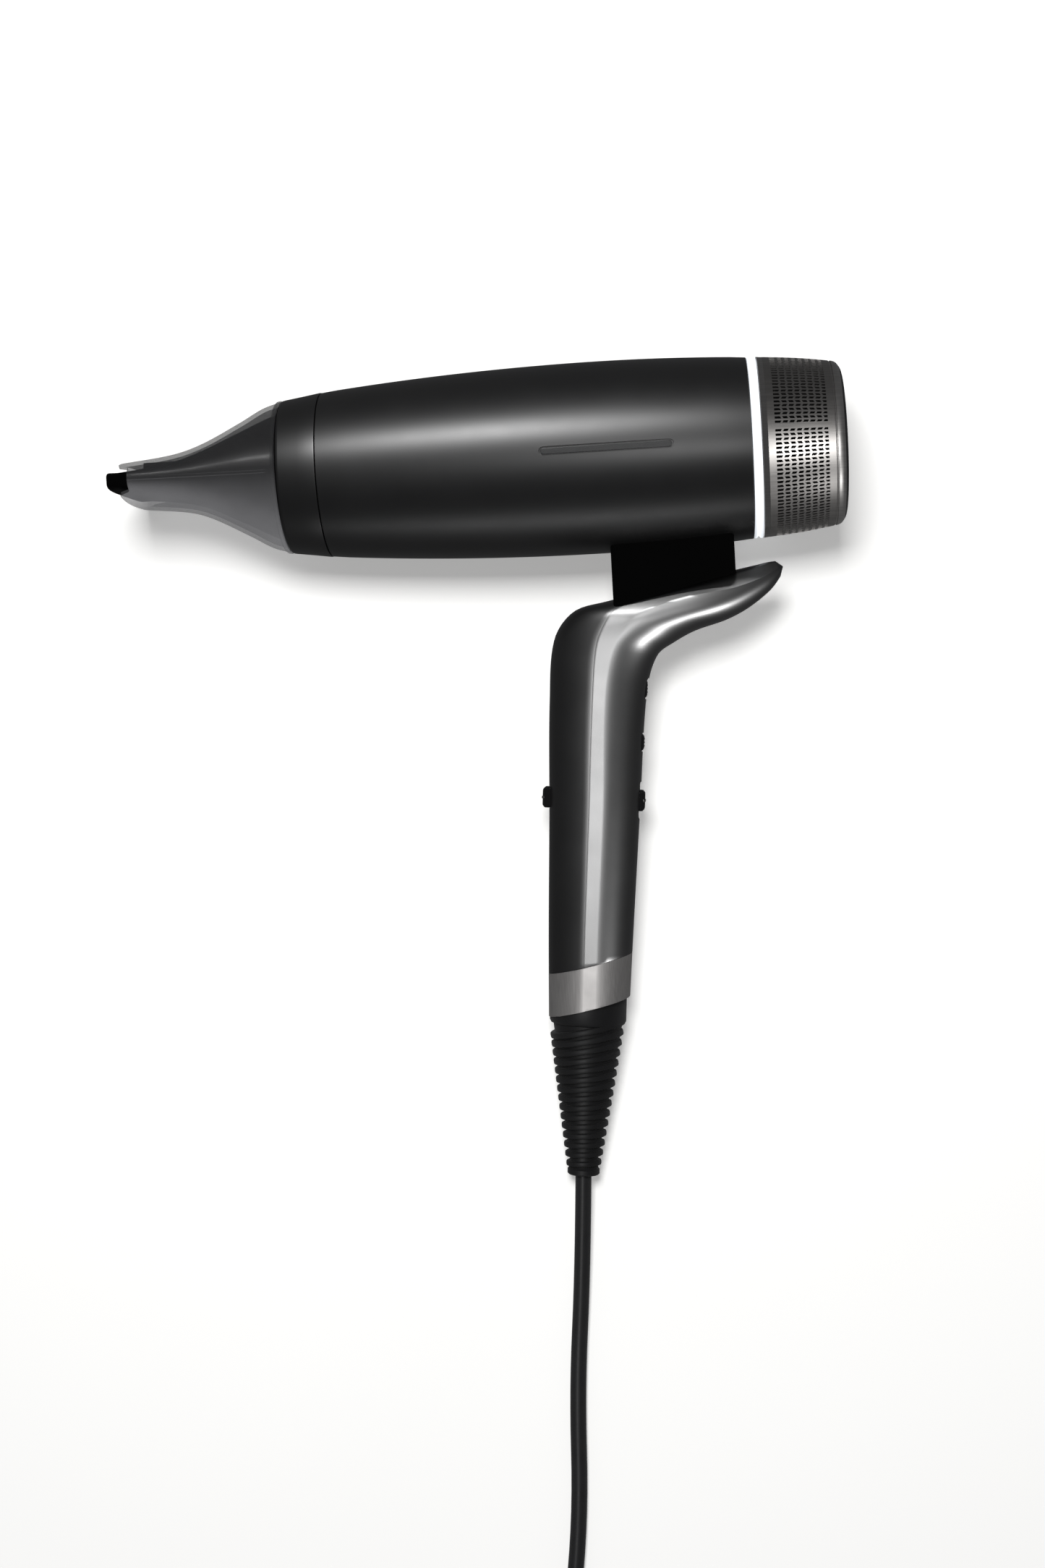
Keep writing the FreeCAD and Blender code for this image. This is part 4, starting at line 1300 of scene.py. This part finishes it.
@dataclass
class Nozzle:
    """Flat nozzle: clear smoke-grey shell round a black duct."""

    palette: Palette
    base: float = -155.1
    tip: float = -217.2
    shell_stops: tuple[float, ...] = (0, 0.12, 0.26, 0.5, 0.68, 1)
    shell_sizes: tuple[Pair, ...] = (
        (30.3, 30.3), (27.9, 30.6), (22.9, 31.1), (14.9, 32.4), (11.1, 33.4), (8.4, 34.8),
    )
    base_ring: Rings = (
        (-155.15, 29.0), (-155.15, 30.25), (-155.6, 30.55), (-156.6, 30.4), (-157.0, 30.0), (-157.0, 29.0)
    )
    shell_wall: float = 1.6
    notch: float = 4.6
    notch_half: float = 6.0
    notch_slope: float = 1.2
    duct_stops: tuple[float, ...] = (151.6, 158.6, 172.1, 188.1, 200.1, 217.2, 221.7)
    duct_sizes: tuple[Pair, ...] = (
        (25.5, 25.5), (24.8, 25.6), (18, 27.6), (10.2, 29), (6.4, 30), (3.9, 31), (3.9, 31),
    )
    duct_wall: float = 1.2
    spacer_span: Pair = (-209, -191)
    spacer_rise: Pair = (3.8, 7.2)
    spacers_out: Pair = (-20, 20)
    spacer_half: float = 0.6

    def build(self) -> None:
        """Makes the shell and the duct."""
        shell = softened(thickened(skin("nozzle_shell", 56, 120, self.shell_point), self.shell_wall), 0.3, 2, 55)
        shell = joined("nozzle_shell", [shell, lathe("base_ring", self.base_ring, 120, closed=True)])
        mounted(shell, self.palette.smoke, "nozzle", ("nozzle_outer_shell",))
        duct = softened(thickened(skin("nozzle_duct", 56, 96, self.duct_point), self.duct_wall), 0.3, 2, 55)
        lows, highs = zip(self.spacer_span, self.spacer_rise)
        half = self.spacer_half
        spacers = [block("spacer", (*lows, out - half), (*highs, out + half), 0.2) for out in self.spacers_out]
        duct = joined("nozzle_duct", [duct, *spacers])
        mounted(duct, self.palette.matt, "nozzle", ("nozzle_inner_duct",))

    def shell_point(self, share: float, turn: float) -> Vector:
        """Point of the shell's outside, with the notch in the mouth's two ends."""
        high, wide = eased(self.shell_stops, self.shell_sizes, share)
        up, out = squircle(turn * 2 * math.pi, 2 + 0.8 * (1 - high / wide))
        up, out = up * high, out * wide
        cut = self.notch * min(max((self.notch_half - abs(up)) / self.notch_slope, 0.0), 1.0) * share**8
        return Vector((self.base + (self.tip - self.base) * share + cut, up, out))

    def duct_point(self, share: float, turn: float) -> Vector:
        """Point of the duct's outside; its stops count forwards."""
        first, last = self.duct_stops[0], self.duct_stops[-1]
        along = first + (last - first) * share
        high, wide = eased(self.duct_stops, self.duct_sizes, along)
        up, out = squircle(turn * 2 * math.pi, 2 + 3.0 * (1 - high / wide))
        return Vector((-along, up * high, out * wide))


# Handle


@dataclass(frozen=True)
class Section:
    """One cross-section of the grip.

    upper and lower are its (along, up) ends at the front and the rear edge; half is half its
    thickness; facet is where the flat of the side starts and ends, 1 front to -1 rear.
    """

    upper: Pair
    lower: Pair
    half: float
    facet: Pair


class Shell(Enum):
    """The two shells of the grip, by the share of the way round that each takes."""

    FRONT = (-0.1875, 0.1875)
    REAR = (0.1875, 0.8125)


@dataclass
class Handle:
    """Raked grip in two shells, its metal band and the neck under the barrel."""

    palette: Palette
    sections: tuple[Section, ...] = (
        Section((-62.3, -232.0), (-30.4, -232.0), 15.4, (0.13, -0.2)),
        Section((-60.2, -190.0), (-26.0, -190.0), 15.8, (0.12, -0.21)),
        Section((-57.2, -140.0), (-20.6, -140.0), 16.2, (0.10, -0.235)),
        Section((-54.6, -95.0), (-15.6, -95.0), 16.4, (0.09, -0.19)),
        Section((-51.4, -71.0), (-10.6, -79.8), 16.4, (0.16, -0.2)),
        Section((-43.0, -60.4), (-3.0, -74.6), 16.2, (0.34, -0.1)),
        Section((-29.0, -57.0), (5.0, -70.8), 15.6, (0.66, 0.18)),
        Section((-4.0, -52.0), (17.5, -67.2), 13.6, (0.72, 0.28)),
        Section((15.0, -48.8), (26.5, -63.0), 10.8, (0.76, 0.1)),
        Section((30.0, -46.2), (35.4, -56.6), 7.4, (0.8, 0.0)),
        Section((37.4, -45.0), (39.6, -51.6), 4.6, (0.85, 0.0)),
        Section((39.9, -45.6), (40.5, -49.4), 2.6, (0.85, 0.0)),
        Section((40.9, -47.2), (40.92, -47.6), 0.2, (0.85, 0.0)),
    )
    power: float = 2.25
    front_crease: float = 0.18
    rear_crease: float = 0.02
    wall: float = 2.0
    rows: int = 110
    facet_turns: Pair = (0.375, 0.625)
    band_at: float = -61.5
    band_top: float = -204.9
    band_bottom: float = -222.2
    band_slope: float = 0.2
    neck_low: Triple = (-26.7, -62.0, -13.2)
    neck_high: Triple = (22.0, -31.2, 13.2)
    neck_foot: Pair = (-25.6, -59.9)
    neck_slope: float = 0.223

    def __post_init__(self) -> None:
        """Works out how far along the grip each section stands."""
        middles = [(Vector(s.upper) + Vector(s.lower)) / 2 for s in self.sections]
        self.stops = [0.0]
        for a, b in zip(middles, middles[1:]):
            self.stops.append(self.stops[-1] + (b - a).length)
        self.numbers = [(*s.upper, *s.lower, s.half, *s.facet) for s in self.sections]

    def point(self, share: float, turn: float) -> Vector:
        """Point of the grip's outside.

        Args:
            share: 0 at the foot to 1 at the tail.
            turn: 0 at the front edge, over the side that shows, and back at 1.

        Returns:
            The point, in millimetres.
        """
        numbers = eased(self.stops, self.numbers, share * self.stops[-1])
        upper, lower = Vector(numbers[0:2]), Vector(numbers[2:4])
        half, facet = max(numbers[4], 0.05), numbers[5:7]
        turn %= 1.0
        side = 1 if turn < 0.5 else -1
        way = turn * 2 if turn < 0.5 else 2 - turn * 2
        edges = [math.acos(math.copysign(abs(s) ** (self.power / 2), s)) for s in facet]
        first, last = self.facet_turns

        def rim(angle: float) -> Pair:
            """Point of the section's round outline."""
            return squircle(angle, 2.0) if angle in (0, math.pi) else squircle(angle, self.power)

        if way <= first:
            across, out = rim(edges[0] * way / first)
            out *= 1 - self.front_crease * (across - facet[0])
        elif way >= last:
            across, out = rim(edges[1] + (math.pi - edges[1]) * (way - last) / (1 - last))
            out *= 1 - self.rear_crease * (facet[1] - across)
        else:
            t = (way - first) / (last - first)
            (a, b), (c, d) = rim(edges[0]), rim(edges[1])
            across, out = a + (c - a) * t, b + (d - b) * t
        middle, reach = (upper + lower) / 2, (upper - lower) / 2
        place = middle + reach * across
        return Vector((place.x, place.y, side * out * half))

    def build(self) -> None:
        """Makes every piece of the handle."""
        for part, columns, face in ((Shell.FRONT, 24, Face.FRONT), (Shell.REAR, 40, Face.REAR)):
            which = part.name.lower()
            piece = self.shell("grip_" + which, part, columns, Controls.openings(face))
            mounted(piece, self.palette.grip, "housing", (f"handle_{which}_shell",), angle=24)
        self.make_band()
        self.make_neck()

    def shell(self, name: str, part: Shell, columns: int, openings: Sequence[Piece]) -> Piece:
        """Makes one shell of the grip.

        Args:
            name: the piece's name.
            part: which shell.
            columns: cells round it.
            openings: what is cut out of it.

        Returns:
            The shell.
        """
        start, end = part.value
        piece = skin(name, self.rows, columns, lambda share, turn: self.point(share, start + (end - start) * turn))
        trimmed(piece, (self.band_at, self.band_top), self.band_slope, keep_above=True)
        return carved(softened(thickened(piece, self.wall), 0.28, 2, 55), *openings)

    def make_band(self) -> None:
        """Makes the metal band round the foot of the grip."""
        band = skin("foot_band", 60, 96, lambda share, turn: self.point(share * 0.3, turn))
        trimmed(band, (self.band_at, self.band_top - 0.12), self.band_slope, keep_above=False)
        trimmed(band, (self.band_at, self.band_bottom), self.band_slope, keep_above=True)
        softened(thickened(band, 1.4), 0.35, 3, 55)
        mounted(band, self.palette.band, "housing", ("metal_band",), angle=40)

    def make_neck(self) -> None:
        """Makes the neck between the grip and the barrel."""
        neck = block("neck_block", self.neck_low, self.neck_high, 2.4, 4)
        trimmed(neck, self.neck_foot, self.neck_slope, keep_above=True)
        merged(filled(neck))
        mounted(neck, self.palette.matt, "housing", ("neck_shell",))


# Controls


class Face(Enum):
    """The edge of the grip that a control stands on."""

    FRONT = -1
    REAR = 1


@dataclass(frozen=True)
class Key:
    """One control: its place up the grip, size, how far its top stands out, and its looks."""

    name: str
    node: str
    body: str
    face: Face
    height: float
    length: float
    width: float
    surface: float
    rise: float
    travel: float
    bright_line: bool


@dataclass
class Controls:
    """Slider and push keys of the grip."""

    palette: Palette
    play: float = 0.3
    cut: float = 5.0
    skirt: float = 4.0
    corner: float = 1.5
    dome: float = 0.35
    ridges: Triple = (-1.4, 0.0, 1.4)
    keys: tuple[Key, ...] = (
        Key("cool_key_cap", "cool_shot_button", "cool_key", Face.FRONT, 85.8, 8.4, 9.0, 18.9, 1.9, 0, True),
        Key("power_slider_cap", "power_slider", "power_switch", Face.REAR, 85.5, 8.4, 9.0, 18.3, 2.2, 3, True),
        Key("speed_key_cap", "speed_button", "speed_key", Face.REAR, 108.8, 7.0, 10.0, 19.2, 0.25, 0, False),
        Key("heat_key_cap", "heat_button", "heat_key", Face.REAR, 130.3, 7.8, 10.0, 19.8, 0.25, 0, False),
    )

    @classmethod
    def openings(cls, face: Face) -> list[Piece]:
        """Blocks that cut the openings of one shell, in the dryer's own axes.

        Args:
            face: the edge that the shell takes in.

        Returns:
            The blocks.
        """
        blocks = []
        for key in (key for key in cls.keys if key.face is face):
            near, far = sorted((face.value * (key.surface - cls.cut), face.value * (key.surface + cls.cut)))
            reach, half = key.length / 2 + cls.play + key.travel, key.width / 2 + cls.play
            tool = block("opening", (near, key.height - reach, -half), (far, key.height + reach, half), 1.4, 3)
            tool.data.transform(AXES.dryer.inverted() @ AXES.handle)
            blocks.append(tool)
        return blocks

    def build(self) -> None:
        """Makes every key."""
        for key in self.keys:
            self.make_key(key)

    def make_key(self, key: Key) -> None:
        """Makes one key: a domed cap with finger ridges or a bright line across it."""
        half_length, half_width = key.length / 2, key.width / 2
        top = key.surface + key.rise
        low = (key.surface - self.skirt, -half_length, -half_width)
        cap = block(key.name, low, (top, half_length, half_width), self.corner, 5)
        for vertex in cap.data.vertices:
            if vertex.co.x > (top - self.corner * 0.5) * MM:
                along, across = vertex.co.y / (half_length * MM), vertex.co.z / (half_width * MM)
                vertex.co.x -= self.dome * MM * (along**2 + across**2) / 2
        turn = Matrix.Rotation(0 if key.face is Face.REAR else math.pi, 4, "Z")
        placement = AXES.handle @ Matrix.Translation((0, key.height * MM, 0)) @ turn
        if key.bright_line:
            edge = half_width + 0.02
            line = block(key.name + "_line", (top - 1.0, -0.5, -edge), (top + 0.12, 0.5, edge), 0.25, 2)
            mounted(line, self.palette.trim, key.body, (), placement)
        else:
            edge = half_width * 0.55
            low, high = (top - 0.6, -0.25, -edge), (top + 0.05, 0.25, edge)
            ridges = [block("ridge", low, high, 0.2, 2) for _ in self.ridges]
            for ridge, at in zip(ridges, self.ridges):
                ridge.data.transform(Matrix.Translation((0, at * MM, 0)))
            cap = joined(key.name, [cap, *ridges])
        mounted(cap, self.palette.grip, key.body, (key.node,), placement)


# Strain relief


@dataclass
class StrainRelief:
    """Ribbed rubber sleeve at the grip's foot, its ribs slanted less and less downwards."""

    palette: Palette
    core: Rings = (
        (-4.0, 14.0), (-62.0, 5.4), (-63.8, 6.1), (-64.2, 6.5), (-65.9, 6.5), (-66.4, 6.0), (-66.4, 3.7), (-4.0, 3.7)
    )
    cuff: Rings = ((9.0, 13.0), (9.0, 15.4), (-3.6, 15.4), (-4.6, 14.9), (-5.0, 13.8), (-5.0, 12.4))
    cuff_top: float = 1.8
    cuff_slant: float = 16.06
    first_radius: float = 15.5
    end_radius: float = 6.4
    end: float = -66.4
    first_rib: float = -5.6
    pitch: float = 3.9
    ribs: int = 15
    rib_length: float = 2.5
    rib_phase: float = 0.35
    rib_depth: float = 3.2
    rib_thinning: float = 0.12
    tilts: Pair = (13.0, 3.5)
    bore: float = 3.7
    flatness: float = 0.9

    def build(self) -> None:
        """Makes the sleeve."""
        fall = (self.first_radius - self.end_radius) / (self.first_rib - self.end)
        parts = [lathe("relief_core", self.core, 96, closed=True), self.collar()]
        for index in range(self.ribs):
            share = index / (self.ribs - 1)
            drop = self.pitch * (index + self.rib_phase)
            parts.append(self.rib(self.first_rib - drop, self.first_radius - fall * drop, share))
        sleeve = joined("ribbed_relief", parts)
        upright = Matrix.Diagonal((1, 1, self.flatness, 1)) @ Matrix.Rotation(math.pi / 2, 4, "Z")
        mounted(sleeve, self.palette.rubber, "housing", ("strain_relief",), AXES.handle @ upright)

    def collar(self) -> Piece:
        """Plain collar under the metal band, cut along the band's slant."""
        collar = lathe("relief_collar", self.cuff, 96, closed=True)
        slant = math.radians(self.cuff_slant)
        across = (-math.cos(slant), -math.sin(slant), 0)
        edit(collar)
        bpy.ops.mesh.bisect(plane_co=(self.cuff_top * MM, 0, 0), plane_no=across, clear_inner=True, use_fill=False)
        close_edit()
        return collar

    def rib(self, height: float, radius: float, share: float) -> Piece:
        """One rounded rib.

        Args:
            height: its middle, up the handle's axis.
            radius: its outer radius.
            share: 0 for the first rib to 1 for the last.

        Returns:
            The rib.
        """
        half = self.rib_length / 2 * (1 - self.rib_thinning * share)
        inner = max(radius - self.rib_depth, self.bore + 0.4)
        profile = [(half, inner), (half, radius - 0.6), (half - 0.25, radius - 0.12), (half - 0.7, radius)]
        profile += [(0.7 - half, radius), (0.25 - half, radius - 0.12), (-half, radius - 0.6), (-half, inner)]
        rib = lathe("rib", profile, 72, closed=True)
        tilt = self.tilts[0] + (self.tilts[1] - self.tilts[0]) * min(share * 1.15, 1) ** 0.8
        rib.data.transform(Matrix.Translation((height * MM, 0, 0)) @ Matrix.Rotation(math.radians(tilt), 4, "Z"))
        return rib


# What is inside


@dataclass
class InnerWorks:
    """Finishes of the solids that keep their own shape."""

    palette: Palette

    def finishes(self) -> dict[str, Finish]:
        """Finish of each of the record's material slots.

        Returns:
            Materials by slot.
        """
        steel = BrushedMetal((0.5, 0.5, 0.5), 0.3).material("zinc_steel")
        return {
            "body_black": self.palette.body,
            "duct_black": self.palette.matt,
            "grille_metal": self.palette.trim,
            "rubber_black": self.palette.rubber,
            "motor_steel": steel,
            "motor_core": BrushedMetal((0.2, 0.13, 0.09), 0.5, (60, 1, 1)).material("core_sheets"),
            "fan_plastic": MouldedPlastic((0.03, 0.03, 0.033), 0.5, depth=0.02).material("fan_nylon"),
            "mica": MouldedPlastic((0.42, 0.33, 0.2), 0.55, 1.5, 0.05, tone=0.4).material("mica_sheet"),
            "heater_alloy": BrushedMetal((0.42, 0.36, 0.32), 0.45, (1, 1, 1), 1.0).material("heater_alloy"),
            "board_green": CircuitBoard().material("circuit_board"),
            "capacitor_sleeve": MouldedPlastic((0.01, 0.015, 0.05), 0.35).material("capacitor_sleeve"),
            "wire_sleeve": Rubber((0.18, 0.02, 0.014), 0.45).material("silicone_sleeve"),
            "mesh_steel": self.palette.wire_cloth,
        }

    def build(self) -> None:
        """Dresses every solid that nothing has replaced."""
        finishes = self.finishes()
        slots = {part["node"]: part["material_slot"] for part in frame["record"]["subparts"]}
        for name, node in frame["nodes"].items():
            finish = finishes.get(slots.get(name, ""))
            if finish is None:
                continue
            if not node.material_slots:
                node.data.materials.append(finish)
            for slot in node.material_slots:
                slot.material = finish
            LOG.info("%s is dressed in %s", name, finish.name)


def main() -> None:
    """Builds the studio, the lead and the dryer in order."""
    logging.basicConfig(level=logging.INFO, format="%(name)s: %(message)s")
    studio = Studio()
    studio.build()
    palette = Palette()
    MainsLead(palette).build()
    for assembly in (Barrel, InletFilter, Nozzle, Handle, Controls, StrainRelief, InnerWorks):
        assembly(palette).build()
        LOG.info("%s is finished", assembly.__name__)
    studio.hang_lights()


if __name__ == "__main__":
    main()
